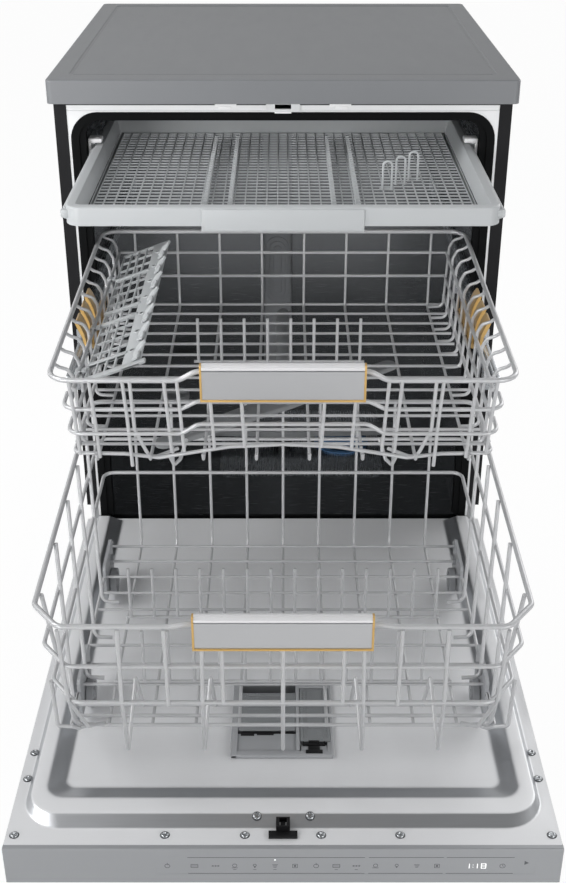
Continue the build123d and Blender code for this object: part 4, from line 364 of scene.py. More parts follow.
def finishes():
    """Every finish of the machine, by name."""
    shade = bpy.context.scene.dishwasher_colours
    return {
        "worktop": moulded("worktop_satin", shade.worktop, 0.42, 1500, 0.00006, 0.05),
        "cabinet": two_tone("cabinet_paint", shade.cabinet, shade.strip, STRIP_END, 0.45),
        "galvanised": moulded("galvanised_sheet", tone("9fa3a6"), 0.45, 120, 0.00003, 0.16, 1.0),
        "steel": steel_with_painted_collar_reflection("tub_steel", shade.tub, shade.collar, COLLAR_END),
        "door_steel": pressed("door_steel", shade.steel, 0.36, RIDGE_SLOPE),
        "fascia": brushed("fascia_metal", shade.fascia, 0.42, "X", 0.45, 0.04),
        "bright": brushed("bright_steel", tone("b9bcbf"), 0.26, "Y"),
        "wire": moulded("coated_wire", shade.wire, 0.34, 700, 0.00004, 0.06, 0.3, 0.2),
        "tray": moulded("tray_plastic", shade.tray, 0.4, 1400, 0.00004, 0.04),
        "grey": moulded("grey_plastic", shade.grey, 0.45, 1200, 0.00006, 0.05),
        "black": moulded("black_plastic", shade.black, 0.4, 1200, 0.00006, 0.15, level=0.3),
        "rubber": moulded("gasket_rubber", tone("0b0c0d"), 0.65, 500, 0.00008, 0.2, level=0.08),
        "weight": moulded("cast_counterweight", tone("5b5a58"), 0.85, 160, 0.0006, 0.25),
        "arm": moulded("spray_arm_plastic", shade.arm, 0.4, 1200, 0.00005, 0.06),
        "filter": moulded("filter_plastic", tone("4b6f97"), 0.4, 1200, 0.00005, 0.08),
        "clear": moulded("lid_plastic", tone("7d8082"), 0.25, 1200, 0.00003, 0.05),
        "glass": moulded("display_glass", tone("9fa1a3"), 0.3, 900, 0.00001, 0.02, 0.3, 0.6),
        "board": moulded("circuit_board", tone("27633a"), 0.5, 300, 0.0001, 0.25),
        # Handles: brushed metal with a paler painted highlight along their tops.
        "handle": handle_metal_with_painted_highlight("handle_aluminium", shade.handle, tone("e6e6e8"), HANDLE_HIGHLIGHT_BANDS),
        "clip": moulded("clip_pale", tone("ececed"), 0.35, 900, 0.00002, 0.03),
        "gold": moulded("gold_satin", shade.gold, 0.32, 900, 0.00003, 0.06, 0.45, 0.3),
        "print": moulded("panel_print", tone("5a5c5f"), 0.5, 900, 0.00001, 0.03),
        "lit": lamp_print("panel_digits", tone("ffffff")),
        "strike": striker("striker_and_crossbar", tone("dedfe0"), shade.collar,
                          STRIKER_PLATE_END, STRIKER_SHADE_FROM),
        "ring": moulded("screw_ring", tone("55585a"), 0.4, 900, 0.00003, 0.1, 0.4),
    }


FINISH = {}
CARRIED = {node: finish for finish, nodes in {
    "worktop": "worktop",
    "cabinet": "side_panel_left side_panel_right",
    "galvanised": "rear_panel hinge_brackets hinge_arms",
    "black": "base_pan levelling_feet plinth sump circulation_pump drain_pump door_latch latch_hook",
    "weight": "counterweight",
    "steel": "tub",
    "rubber": "tub_gasket",
    "strike": "door_strike",
    "grey": "feed_duct pump_impeller softener salt_cap inlet_valve dispenser_housing wheel_carriers "
            "lower_wheels_front lower_wheels_rear",
    "bright": "filter_plate rack_rails rail_slides tray_rails door_screws rail_carriers",
    "filter": "filter_cup",
    "arm": "lower_spray_arm top_spray_arm middle_feed_tube middle_spray_arm",
    "fascia": "door_outer_panel control_fascia",
    "door_steel": "door_inner_panel",
    "glass": "display_window",
    "board": "control_board",
    "clear": "detergent_lid rinse_aid_lid",
    "wire": "lower_basket lower_tines_front lower_tines_rear middle_basket middle_tines",
    "handle": "lower_handle middle_handle",
    "gold": "lower_handle_trim middle_handle_trim height_lever_left height_lever_right",
    "tray": "cup_shelf cutlery_tray tray_grid tray_combs",
}.items() for node in nodes.split()}


def spaced(start, pitch, count):
    """Evenly spaced places."""
    return [start + pitch * number for number in range(count)]


def bevel(bm, geom, offset, steps, affect="EDGES"):
    """Round some edges, or the corners of a flat face."""
    return bmesh.ops.bevel(bm, geom=geom, offset=offset, offset_type="OFFSET", segments=steps,
                           profile=0.5, affect=affect, material=-1)


def round_corners(bm, face, offset, steps):
    """Round a flat face's corners. It returns the face that is left."""
    return bevel(bm, list(face.verts), offset, steps, "VERTICES")["verts"][0].link_faces[0]


def extrude(bm, faces, reach):
    """Draw faces out along reach. It returns the points and the faces at the far end."""
    made = bmesh.ops.extrude_face_region(bm, geom=faces)["geom"]
    points = [g for g in made if isinstance(g, bmesh.types.BMVert)]
    bmesh.ops.translate(bm, vec=reach, verts=points)
    return points, [g for g in made if isinstance(g, bmesh.types.BMFace)]


def inset(bm, face, width, depth=0.0):
    bmesh.ops.inset_region(bm, faces=[face], thickness=width, depth=depth, use_even_offset=True)


def bisect(bm, place, way, drop):
    """Split the whole mesh along a plane, and drop what lies beyond it if asked."""
    bmesh.ops.bisect_plane(bm, geom=[*bm.verts, *bm.edges, *bm.faces], dist=0.0001, plane_co=place,
                           plane_no=way, clear_outer=drop)


class Shape:
    """A mesh under construction, in the machine's millimetres."""

    def __init__(self):
        self.bm = bmesh.new()

    def soften(self, points, edge, steps):
        edges = dict.fromkeys(e for v in points for e in v.link_edges)
        bevel(self.bm, list(edges), edge, steps)

    def block(self, x0, x1, y0, y1, z0, z1, edge=0.0, steps=2, turn=None):
        """Box between two x, two y and two z values, with its edges rounded."""
        points = bmesh.ops.create_cube(self.bm, size=1.0)["verts"]
        bmesh.ops.scale(self.bm, vec=(x1 - x0, y1 - y0, z1 - z0), verts=points)
        bmesh.ops.translate(self.bm, vec=((x0 + x1) / 2, (y0 + y1) / 2, (z0 + z1) / 2), verts=points)
        if turn:
            bmesh.ops.transform(self.bm, matrix=turn, verts=points)
        if edge:
            self.soften(points, edge, steps)

    def blocks(self, *rows):
        """Boxes, each a row of block's values."""
        for row in rows:
            self.block(*row)

    def twins(self, *rows):
        """Boxes, each a row of block's values, on either side of the machine."""
        for x0, x1, *rest in rows:
            self.block(x0, x1, *rest)
            self.block(-x1, -x0, *rest)

    def rod(self, start, end, radius, sides=20):
        """Round bar between two points."""
        start, end = Vector(start), Vector(end)
        axis = end - start
        points = bmesh.ops.create_cone(self.bm, cap_ends=True, segments=sides, radius1=radius,
                                       radius2=radius, depth=axis.length)["verts"]
        place = Matrix.Translation((start + end) / 2) @ axis.to_track_quat("Z", "Y").to_matrix().to_4x4()
        bmesh.ops.transform(self.bm, matrix=place, verts=points)

    def outline(self, points):
        """A flat face through the points."""
        return self.bm.faces.new([self.bm.verts.new(point) for point in points])

    def level(self, half, front, back, z):
        """A level rectangle across the middle."""
        return self.outline([(-half, front, z), (half, front, z), (half, back, z), (-half, back, z)])

    def upright(self, x0, x1, y, z0, z1):
        """A rectangle that faces the front."""
        return self.outline([(x0, y, z0), (x1, y, z0), (x1, y, z1), (x0, y, z1)])

    def drawn(self, points, reach, edge=0.0, steps=2):
        """A solid drawn from a flat outline along reach."""
        moved = extrude(self.bm, [self.outline(points)], reach)[0]
        if edge:
            self.soften(moved, edge, steps)

    def ring(self, centre, axis, profile, sides=32):
        """A turned shape: profile is (radius, height) pairs about an axis through centre."""
        axis = Vector(axis).normalized()
        side = axis.orthogonal().normalized()
        centre = Vector(centre)
        points = [self.bm.verts.new(centre + side * r + axis * h) for r, h in profile]
        edges = [self.bm.edges.new(pair) for pair in zip(points, points[1:])]
        bmesh.ops.spin(self.bm, geom=points + edges, cent=centre, axis=axis, angle=2 * pi, steps=sides,
                       use_merge=True, use_duplicate=False)
        bmesh.ops.remove_doubles(self.bm, verts=self.bm.verts, dist=0.001)


def settle(name, data, finish, body, stands_for):
    """Make an object that rides on a body, in place of the CAD nodes named."""
    data.materials.append(FINISH[finish])
    made = bpy.data.objects.new(name, data)
    bpy.context.scene.collection.objects.link(made)
    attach(made, body)
    if stands_for:
        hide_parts(*stands_for)


def piece(name, shape, finish, body, stands_for=(), sharp=38):
    """Turn a shape into an object. Edges bent by more than sharp degrees stay crisp."""
    bm = shape.bm
    bmesh.ops.recalc_face_normals(bm, faces=bm.faces)
    bmesh.ops.translate(bm, vec=(0, SHIFT, 0), verts=bm.verts)
    bmesh.ops.scale(bm, vec=(0.001, 0.001, 0.001), verts=bm.verts)
    mesh = bpy.data.meshes.new(name)
    bm.to_mesh(mesh)
    bm.free()
    mesh.shade_smooth()
    mesh.set_sharp_from_angle(angle=radians(sharp))
    settle(name, mesh, finish, body, stands_for)


def bend_points(points, bend, closed):
    """Knots of a wire: (place, handle before, handle after), with a rounded bend at each corner."""
    places = [at(*point) for point in points]
    knots = []
    for number, here in enumerate(places):
        if not closed and number in (0, len(places) - 1):
            knots.append((here, None, None))
            continue
        before = places[number - 1] - here
        after = places[(number + 1) % len(places)] - here
        turn = pi - before.angle(after)
        if turn < radians(3):
            continue
        cut = min(bend / 1000 * tan(turn / 2), 0.48 * before.length, 0.48 * after.length)
        reach = cut * 4 / 3 * tan(turn / 4) / tan(turn / 2)
        first = here + before.normalized() * cut
        second = here + after.normalized() * cut
        knots.append((first, None, first - before.normalized() * reach))
        knots.append((second, second - after.normalized() * reach, None))
    return knots


def wires(name, runs, finish, body, stands_for=()):
    """One curve object of round wires. A run is (points, radius, bend), and True if it closes."""
    curve = bpy.data.curves.new(name, "CURVE")
    curve.dimensions = "3D"
    curve.bevel_depth = 0.001
    curve.bevel_resolution = bpy.context.scene.dishwasher_sizes.wire_sides
    curve.use_fill_caps = True
    curve.resolution_u = 5
    for run in runs:
        points, radius, bend = run[:3]
        closed = len(run) > 3
        knots = bend_points(points, bend, closed)
        line = curve.splines.new("BEZIER")
        line.use_cyclic_u = closed
        line.bezier_points.add(len(knots) - 1)
        for knot, (place, before, after) in zip(line.bezier_points, knots):
            knot.handle_left_type = "FREE" if before else "VECTOR"
            knot.handle_right_type = "FREE" if after else "VECTOR"
            knot.co = place
            if before:
                knot.handle_left = before
            if after:
                knot.handle_right = after
            knot.radius = radius
    settle(name, curve, finish, body, stands_for)


def flip(points):
    """The same points on the other side of the machine."""
    return [(-x, y, z) for x, y, z in points]


def pair(runs):
    """Each run and its twin on the other side."""
    return [twin for run in runs for twin in (run, (flip(run[0]), *run[1:]))]


def worktop_shape():
    """Worktop with rounded corners and a panel set into its top."""
    shape = Shape()
    bm = shape.bm
    low = round_corners(bm, shape.level(302, 0, 600, 815), 8, 8)
    top = extrude(bm, [low], (0, 0, 30))[1][0]
    bevel(bm, list(top.edges), 2.0, 3)
    top = max(bm.faces, key=lambda f: (round(f.calc_center_median().z, 1), f.calc_area()))
    rim = list(top.edges)
    bmesh.ops.delete(bm, geom=[top], context="FACES_ONLY")
    panel = round_corners(bm, shape.level(277, 34, 579, 845), 9, 8)
    bmesh.ops.bridge_loops(bm, edges=rim + list(panel.edges))
    for width, depth in ((1.2, -0.9), (4.0, -0.5), (0.8, 0.5)):
        inset(bm, panel, width, depth)
    return shape


def door_panel_shape():
    """Inner door: one sheet with a pressed ridge round a shallow pocket, open at the hinge."""
    shape = Shape()
    bm = shape.bm
    loops = []
    for half, front, z, corner in ((298, -641, 181.5, 2), (285, -618, 181.5, 44), (280, -602.5, 190, 34),
                                   (263.5, -579.5, 190, 20), (246, -556, 181.5, 15)):
        loops.append(round_corners(bm, shape.level(half, front, 120, z), corner, 9))
    rims = [list(face.edges) for face in loops]
    bmesh.ops.delete(bm, geom=loops[:-1], context="FACES_ONLY")
    for inner, outer in zip(rims[1:], rims):
        bmesh.ops.bridge_loops(bm, edges=inner + outer)
    for rim, width in zip(rims[1:], (2.0, 2.2, 4.5, 6.0)):
        bevel(bm, rim, width, 4)
    bisect(bm, (0, 19, 0), (0, 1, 0), True)
    left, right, front, back = -57, 55, -504, -376
    for x in (left, right):
        bisect(bm, (x, 0, 0), (1, 0, 0), False)
    for y in (front, back):
        bisect(bm, (0, y, 0), (0, 1, 0), False)
    cup = [face for face in bm.faces if left < face.calc_center_median().x < right
           and front < face.calc_center_median().y < back]
    bmesh.ops.delete(bm, geom=cup, context="FACES")
    bmesh.ops.recalc_face_normals(bm, faces=bm.faces)
    if max(bm.faces, key=lambda face: face.calc_area()).normal.z < 0:
        bmesh.ops.reverse_faces(bm, faces=bm.faces)
    bmesh.ops.solidify(bm, geom=list(bm.faces), thickness=0.7)
    shape.block(-298, 298, 18.8, 25, 180.9, 181.5)
    return shape


def duct_ovals_shape():
    """Raised nested ovals on the duct at the back of the tub."""
    shape = Shape()
    for half, height, reach in ((21, 62, 2.0), (14.5, 54, 3.4), (8, 46, 4.8)):
        face = shape.upright(-10 - half, -10 + half, DUCT_FRONT, 392 - height, 392 + height)
        face = round_corners(shape.bm, face, half - 0.4, 10)
        cap = extrude(shape.bm, [face], (0, -reach, 0))[1][0]
        bevel(shape.bm, list(cap.edges), 1.2, 3)
    return shape


def gasket_lip_shape():
    """The gasket's black lip, which lies on the collar round the opening."""
    shape = Shape()
    bm = shape.bm
    rims = []
    for half, top, corner in ((278.3, 798.4, 36), (268, 788, 26)):
        face = round_corners(bm, shape.upright(-half, half, 26.9, 60, top), corner, 9)
        rims.append(list(face.edges))
        bmesh.ops.delete(bm, geom=[face], context="FACES_ONLY")
    bmesh.ops.bridge_loops(bm, edges=rims[0] + rims[1])
    bisect(bm, (0, 0, 182.6), (0, 0, -1), True)
    extrude(bm, list(bm.faces), (0, 1.3, 0))
    return shape


def rail_shape():
    """Rail members on the middle basket's sides, each with its two rollers' covers."""
    shape = Shape()
    shape.twins(
        (246, 252.4, -296, 65, 545, 549, 0.8),
        (246, 252.4, -296, 65, 566, 570, 0.8),
        (243.5, 246.8, -308, 65, 545, 570, 0.8),
        (236, 245, -290, -262, 550, 566, 1.2),
        (236, 245, 20, 50, 550, 566, 1.2),
    )
    return shape


def opening_shapes():
    """Light clips over the tray rails' ends, and the tabs that hold the worktop over the opening."""
    shape = Shape()
    shape.twins(
        (240.4, 258.4, 41, 60, 754.6, 760.4, 1.4),
        (254.8, 258.4, 41, 46, 736, 756, 1.0),
        (60.5, 88.5, 26.4, 28.4, 805.4, 809.4, 0.5),
        (68, 84, 25.6, 28.2, 802.6, 806.0, 0.6),
    )
    return shape


def striker_lip_shape():
    """Pale lip under the striker's slot, and the bar across the slot."""
    shape = Shape()
    shape.blocks(
        (-11, 11, 24.6, 26.2, 797.2, 800.6, 0.7),
        (-8.5, 8.5, 26.6, 28.8, 801.6, 803.0, 0.4),
    )
    return shape


def lower_tier(z, inset, rise, lift):
    """Points of a closed tier of the lower basket, with cut corners and a small step by the handle."""
    half = 255 - inset
    front = -600 + inset * 0.6
    right = [(96, front, z + lift), (113, front, z), (half - 29, front, z), (half, front + 38, z),
             (half, -115, z + rise)]
    return flip(right[::-1]) + right


def lower_basket_runs():
    """Wires of the lower basket, rim and tiers first."""
    runs = [(lower_tier(437, 0, 12, 3.5), 3.0, 14, True), (lower_tier(385, 5, 8, 0), 2.4, 14, True),
            (lower_tier(336, 10, 5, 0), 2.4, 14, True)]
    sides = []
    for y in (-545, -450, -362, -282, -205):
        rim = 437 + 12 * (y + 562) / 450
        foot = max(y - 56, -503)
        sides.append(([(250.5, y, rim), (237, foot, 229), (215, foot, 228)], 2.4, 10))
    sides += [
        ([(-242, -440, 228), (-242, -486, 228), (-230, -487, 228), (0, -487, 228)], 2.2, 8),
        ([(246.5, -560, 337), (247, -549, 266), (233, -541, 258), (231, -513, 232),
          (221, -503, 228), (0, -503, 228)], 2.2, 6),
        ([(226, -602, 434), (224, -590, 336), (215, -545, 262), (205, -500, 228)], 2.2, 12),
        ([(119.5, -602.5, 435), (119, -596, 334)], 2.2, 8),
        ([(62, -602.5, 435), (62, -594, 334)], 2.2, 8),
        ([(242, -503, 228), (242, -115, 228)], 2.2, 8),
    ]
    for x in (86.6, 170.6):
        sides.append(([(x - 5, -602.5, 435), (x - 3, -594, 336), (x, -556, 238), (x - 5, -498, 292),
                       (x - 8, -470, 229)], 2.3, 2.2))
    runs += pair(sides)
    runs.append(([(0, -602.5, 435), (0, -594, 336), (0, -556, 238), (0, -498, 292), (0, -470, 229)],
                 2.3, 2.2))
    for x in spaced(-200, 50, 9):
        runs.append(([(x, -112, 447), (x, -114, 224.2), (x, -500, 224.2)], 1.9, 14))
    for y in spaced(-468, 38, 10):
        runs.append(([(-242, y, 228), (242, y, 228)], 1.9, 6))
    return runs


def middle_tier(z, inset, lift, side_y):
    """Points of a front wire of the middle basket, which runs up behind the handle."""
    half = 255.5 - inset
    front = -389 + inset * 0.5
    right = [(94, front, z + lift), (113, front, z), (half, front, z), (half, side_y, z + 1)]
    return flip(right[::-1]) + right


def middle_basket_runs():
    """Wires of the middle basket, rim and tiers first."""
    rim = middle_tier(609, 0, 11, 88)
    rim[0] = (-255.5, 88, 617)
    rim[-1] = (255.5, 88, 617)
    runs = [(rim, 3.0, 24, True), (middle_tier(571, 12.5, 10, -343), 2.4, 18),
            (middle_tier(540, 16, 12, -343), 2.4, 16)]
    low = [(0, -376, 524), (60, -376, 521), (112, -376, 512), (140, -374, 506), (178, -374, 511),
           (236, -372, 511), (236, -330, 508)]
    runs.append((flip(low[::-1]) + low[1:], 2.2, 12))
    sides = [([(233, -362, z), (233, 92, z)], 2.4, 6) for z in (585, 550, 520)]
    for y in spaced(-345, 42, 11):
        rim_z = 609 + 8 * (y + 389) / 477
        sides.append(([(254.5, y, rim_z - 1.2), (249, y, rim_z - 5), (240, y + 2, rim_z - 9),
                       (235, y + 4, rim_z - 20), (231, y + 6, 507), (210, y + 6, 506)], 2.0, 8))
    for x, foot in ((174, 497), (129, 515), (115, 516), (81, 520), (47, 521), (232, 512), (210, 508)):
        top = 609 if x > 112 else 619
        sides.append(([(x, -391, top), (x - 2, -382, 560), (x - 4, -377, foot)], 2.1, 20))
    sides.append(([(166, -391, 609), (165, -380, 545), (150, -372, 503), (120, -352, 506)], 2.1, 16))
    sides.append(([(128, -374, 508), (124, -366, 492), (118, -352, 492), (112, -330, 506)], 2.1, 6))
    runs += pair(sides)
    for y in spaced(-341, 36, 13):
        runs.append(([(-232, y, 506), (232, y, 506)], 1.9, 6))
    for x in spaced(-210, 60, 8):
        runs.append(([(x, 90, 616), (x, 92, 502.4), (x, -374, 502.4), (x, -377, 512)], 1.9, 12))
    for z in (585, 550):
        runs.append(([(-233, 91, z), (233, 91, z)], 2.2, 6))
    return runs


def tine_runs(y, z, left, right, count, height):
    """A folding row: a base wire with thin uprights."""
    runs = [([(left - 6, y, z), (right + 6, y, z)], 2.0, 4)]
    for number in range(count):
        x = left + (right - left) * number / (count - 1)
        runs.append(([(x, y, z), (x, y, z + height - 3), (x, y + 0.1, z + height + 2)], 2.0, 3))
    return runs


def handle_pair(front, low, high, half, name, body):
    """A basket's brushed handle with its rounded top, and the gold trim round it."""
    shape = Shape()
    profile = [(3, low), (10.0, low), (10.6, high - 8.6), (9.2, high - 8.0), (9.2, high - 7.2),
               (11.7, high - 6.4), (11.5, high - 3.6), (9.6, high - 1.2), (6.5, high), (3, high - 1)]
    shape.drawn([(-half, front - ahead, z) for ahead, z in profile], (2 * half, 0, 0))
    piece(name, shape, "handle", body, (name,), 22)
    trim = Shape()
    trim.twins((half - 0.1, half + 2.3, front - 11.4, front - 3, low - 1.8, high - 0.8, 0.5))
    trim.block(-half - 2.3, half + 2.3, front - 11.2, front - 3, low - 2.5, low, 0.5)
    piece(name + "_trim", trim, "gold", body, (name + "_trim",))


def lever_shape(side):
    """Gold height lever: three leaning paddles on a plate, and the pin that it turns on."""
    shape = Shape()
    shape.block(237.3, 240.5, -164, -44, 552, 573, 1.2)
    shape.rod((238.9, -165, 551.5), (238.9, -43, 551.5), 3.2)
    shape.block(237.4, 240.6, -216, -44, 569, 575, 1.2)
    section = [(237.6, 572), (241.0, 572), (243.6, 584), (249.4, 596), (251.8, 602.5), (249.0, 603.6),
               (245.2, 598), (240.6, 587)]
    for y in (-215, -173, -131):
        shape.drawn([(x, y + (z - 572) * 0.12, z) for x, z in section], (0, 31, 0), 0.8)
    if side < 0:
        bmesh.ops.scale(shape.bm, vec=(-1, 1, 1), verts=shape.bm.verts)
    return shape


SHELF_TEETH = spaced(-328, 56, 7)


def shelf_shapes():
    """Tilted lattice shelf with a band of leaning teeth, and black plugs in the band's rings: painted shade
    where they are open.
    """
    shape = Shape()
    for x in spaced(8.6, 11.6, 5):
        shape.block(x, x + 2.4, -345, 70, -4.2, -1.2, 0.5, 1)
    for y in spaced(-337, 31, 13):
        shape.block(8.6, 57, y, y + 2.4, -4.0, -1.3)
    for y in (-306, -188, -152, -34):
        shape.block(8.6, 58, y, y + 7, -4.2, 0.4, 1.0)
    shape.blocks(
        (8.6, 84, -345, -336, -4.6, -0.4, 1.4),
        (8.6, 79, 64, 70, -4.6, -0.6, 1.2),
        (55.5, 77.5, -345, 70, -4.4, -0.8, 1.2),
    )
    for y in SHELF_TEETH:
        shape.ring((64.5, y + 26, -0.9), (0, 0, 1), [(2.6, -0.4), (2.6, 1.1), (4.4, 1.1), (5.2, -0.4)], 14)
        for start, reach, lift in ((6, 87, 8.5), (-8, 79, 3.5)):
            leaf = [(68, y + start, -1), (76, y + start - 4, 2), (reach, y + start + 5, lift),
                    (reach - 1, y + start + 10, lift + 1), (76, y + start + 8, 5), (69, y + start + 9, -1)]
            shape.drawn(leaf, (-0.8, 0, 1.8), 0.6, 1)
    for y in (-316, -190, -22):
        shape.rod((0, y - 5, 0), (0, y + 5, 0), 4.4, 16)
        shape.block(0, 9.5, y - 5, y + 5, -1.4, 1.4)
    # Black plugs in the rings' open middles: painted shade.
    hole_shade = Shape()
    for y in SHELF_TEETH:
        hole_shade.rod((64.5, y + 26, -3.5), (64.5, y + 26, -0.5), 2.6, 12)
    turn = Matrix.Translation((-233, 0, 585)) @ Matrix.Rotation(radians(-20), 4, "Y")
    for made in (shape, hole_shade):
        bmesh.ops.transform(made.bm, matrix=turn, verts=made.bm.verts)
    return shape, hole_shade


def tray_shape():
    """Frame of the cutlery tray: rounded rim with a slope down to the grid, a grip and its side shoes."""
    shape = Shape()
    bm = shape.bm
    low, high = 731.5, 753.5
    base = round_corners(bm, shape.level(249.2, -236, 194, low), 18, 8)
    top = extrude(bm, [base], (0, 0, high - low))[1][0]
    bevel(bm, list(top.edges), 2.6, 3)
    top = max((f for f in bm.faces if abs(f.normal.z) > 0.9),
              key=lambda f: (round(f.calc_center_median().z), f.calc_area()))
    for width, depth in ((8.5, 0.0), (1.2, -1.5), (5.2, -17.5)):
        inset(bm, top, width, depth)
    bottom = min((f for f in bm.faces if abs(f.normal.z) > 0.9), key=lambda f: f.calc_center_median().z)
    inset(bm, bottom, 16.0)
    inner = [e for f in (top, bottom) for e in f.edges]
    bmesh.ops.delete(bm, geom=[top, bottom], context="FACES_ONLY")
    bmesh.ops.bridge_loops(bm, edges=inner)
    shape.blocks(
        (-93, 93, -238.2, -230, 725.5, 751.5, 1.4, 3),
        (-92, 92, -236.5, -222, 725.8, 733, 1.2),
    )
    for y in (72, 164):
        shape.twins((250.2, 261, y - 22, y + 22, 733.8, 751.2, 1.2))
    shape.twins(
        (246, 252.8, -222, 192, 735.0, 750.2, 2.6, 3),
        (244, 254.4, -229, -219, 738.5, 748.5, 2.0),
    )
    return shape


def grid_shape():
    """Fine grid floor of the cutlery tray."""
    shape = Shape()
    for x in spaced(-228, 13.03, 36):
        shape.block(x - 0.75, x + 0.75, -219, 177, 732.5, 734.1)
    for y in spaced(-217, 13.07, 31):
        shape.block(-230.6, 230.6, y - 0.75, y + 0.75, 732.6, 734.0)
    shape.blocks(
        (-230.7, -226, -218.7, 176.7, 732.5, 734.1),
        (226, 230.7, -218.7, 176.7, 732.5, 734.1),
        (-230, 230, -218.7, -214, 732.5, 734.1),
        (-230, 230, 172, 176.7, 732.5, 734.1),
    )
    return shape


def comb_shape():
    """The tray's four toothed holders."""
    shape = Shape()
    for x in (-92, -62.5, 60, 88.5):
        shape.block(x - 2.6, x + 2.6, -214, 120, 734.5, 738.5, 0.7)
        for y in spaced(-212, 11.1, 30):
            tooth = [(0, 738), (5.4, 738), (4.0, 746.3), (1.4, 746.3)]
            shape.drawn([(x - 2.2, y + along, z) for along, z in tooth], (4.4, 0, 0))
    return shape


def hairpin_runs():
    """The tray's three hairpins, each on its foot."""
    runs = []
    for x, y in zip((128, 146, 164), (-104, -82, -60)):
        runs += [([(x - 5.5, y, 734.5), (x - 5.5, y, 770), (x + 5.5, y, 770), (x + 5.5, y, 734.5)],
                  1.4, 5.4), ([(x - 9, y + 2, 735.6), (x + 9, y + 2, 735.6)], 1.3, 4)]
    return runs


def dispenser_shapes():
    """Frame, sliding lid and rinse-aid lid of the detergent dispenser."""
    frame = Shape()
    z0, z1 = 181.8, 186.8
    frame.blocks(
        (-61, -53.4, -508, -371, z0, z1, 1.2),
        (15.4, 19.6, -499, -371, z0, z1, 0.5),
        (55.9, 58.6, -508, -371, z0, z1, 0.8),
        (-60.6, 58.4, -508, -499.0, z0, 186.4, 1.2),
        (-54, 21.5, -500, -468, z0, 184.4, 0.6),
        (52, 56.2, -499.6, -484, z0, z1 - 0.7, 0.5),
        (15.4, 57, -500, -488, z0, 184.4, 0.5),
        (19, 57, -386.5, -371, z0, z1 - 0.2, 0.8),
        (-53.6, 15.6, -378, -371, z0, z1 - 3.2, 0.5),
        (-52, -50, -466, -432, 150, 182.4),
        (12, 14, -466, -432, 150, 182.4),
        (-52, 14, -468, -466, 150, 182.4),
        (-52, 14, -434, -432, 150, 182.4),
        (-59, 59, -504, -375, 149.5, 152, 1.0),
        (-59, -57, -504, -375, 150, 182),
        (55, 57, -504, -375, 150, 182),
        (-59, 59, -504, -502, 150, 182),
        (-59, 59, -377, -375, 150, 182),
    )
    frame.rod((19, -392, 182.8), (57, -392, 182.8), 1.9, 12)
    lid = Shape()
    lid.block(-52.8, 14.8, -464.8, -396.2, 184.9, 187.1, 0.8)
    for y in (-455, -428, -404):
        lid.block(-42, 2.5, y, y + 3.6, 186.9, 188.1, 0.5)
    lid.block(-47, 9, -419, -410, 186.9, 187.9, 0.4)
    rinse = Shape()
    rinse.block(20.4, 55.6, -483.6, -388.4, 184.2, 186.9, 0.7)
    for x in (23.2, 27.4, 47.6, 51.8):
        rinse.block(x, x + 1, -478, -392, 186.6, 187.5, 0.3, 1)
    rinse.blocks(
        (30, 45, -462, -452, 186.6, 187.8, 0.5),
        (20.6, 55.4, -395.5, -388.6, 179.6, 186, 1.2),
    )
    return frame, lid, rinse


def catch_shapes():
    """The dark strip in front of the sliding lid, a black sheet of painted shadow, the tab and bracket in
    front of the lids, and the catch of the rinse-aid lid.
    """
    shadow_and_tabs = Shape()
    shadow_and_tabs.blocks(
        # The first block is painted shadow under the sliding lid's front edge.
        (-53.2, 15.2, -468.4, -465.6, 183.6, 184.7, 0.3, 1),
        (-31, -11, -470.8, -466, 183.9, 184.8, 0.3),
        (-50, -34, -472, -468.4, 184.0, 184.8, 0.3, 1),
        (24.0, 48.0, -489.8, -486.8, 184.2, 186.6, 0.4),
        (22.8, 24.8, -489.8, -483.8, 184.2, 186.9, 0.3, 1),
        (47.4, 49.4, -489.8, -483.8, 184.2, 186.9, 0.3, 1),
        (26.4, 46.2, -504.5, -498.6, 185.6, 187.2, 0.4),
        (29.5, 43.0, -499.4, -491, 184.2, 186.4, 0.4),
    )
    catch = Shape()
    catch.block(30, 42.6, -486.4, -482.6, 184.4, 187.2, 0.4)
    return shadow_and_tabs, catch


def screw_shapes(places, slope_places):
    """Screw heads with a sunken middle, and a dark ring round each. Two stand on the ridge's slope."""
    heads, rings = Shape(), Shape()
    spots = [(x, y, 181.55, 0) for x, y in places] + [(x, y, 188.0, 21) for x, y in slope_places]
    for x, y, z, tilt in spots:
        axis = Matrix.Rotation(radians(tilt), 3, "X") @ Vector((0, 0, 1))
        heads.ring((x, y, z), axis, [(4.3, 0), (4.3, 1.0), (3.7, 1.8), (2.9, 2.1), (2.2, 1.9), (1.5, 0.8),
                                     (0, 0.8)], 22)
        rings.ring((x, y, z), axis, [(4.5, 0), (4.6, 0.5), (5.0, 0.6), (5.3, 0.3), (5.4, 0)], 22)
    return heads, rings


SCREWS = [(side * x, y) for side in (-1, 1)
          for x, y in ((289, -498), (289.5, -541), (289, -627), (41, -627))]
SCREWS += [(-127, -627), (126, -627)]
SLOPE_SCREWS = [(-28.4, -605.5), (29.5, -605.5)]
ICON_X = (-123.8, -94.8, -72.2, -51.7, -30.2, -8.6, 12.9, 35.5, 57.1, 78.6, 99.1, 121.7, 143.2, 164.8)
ICON_Z = 156.8


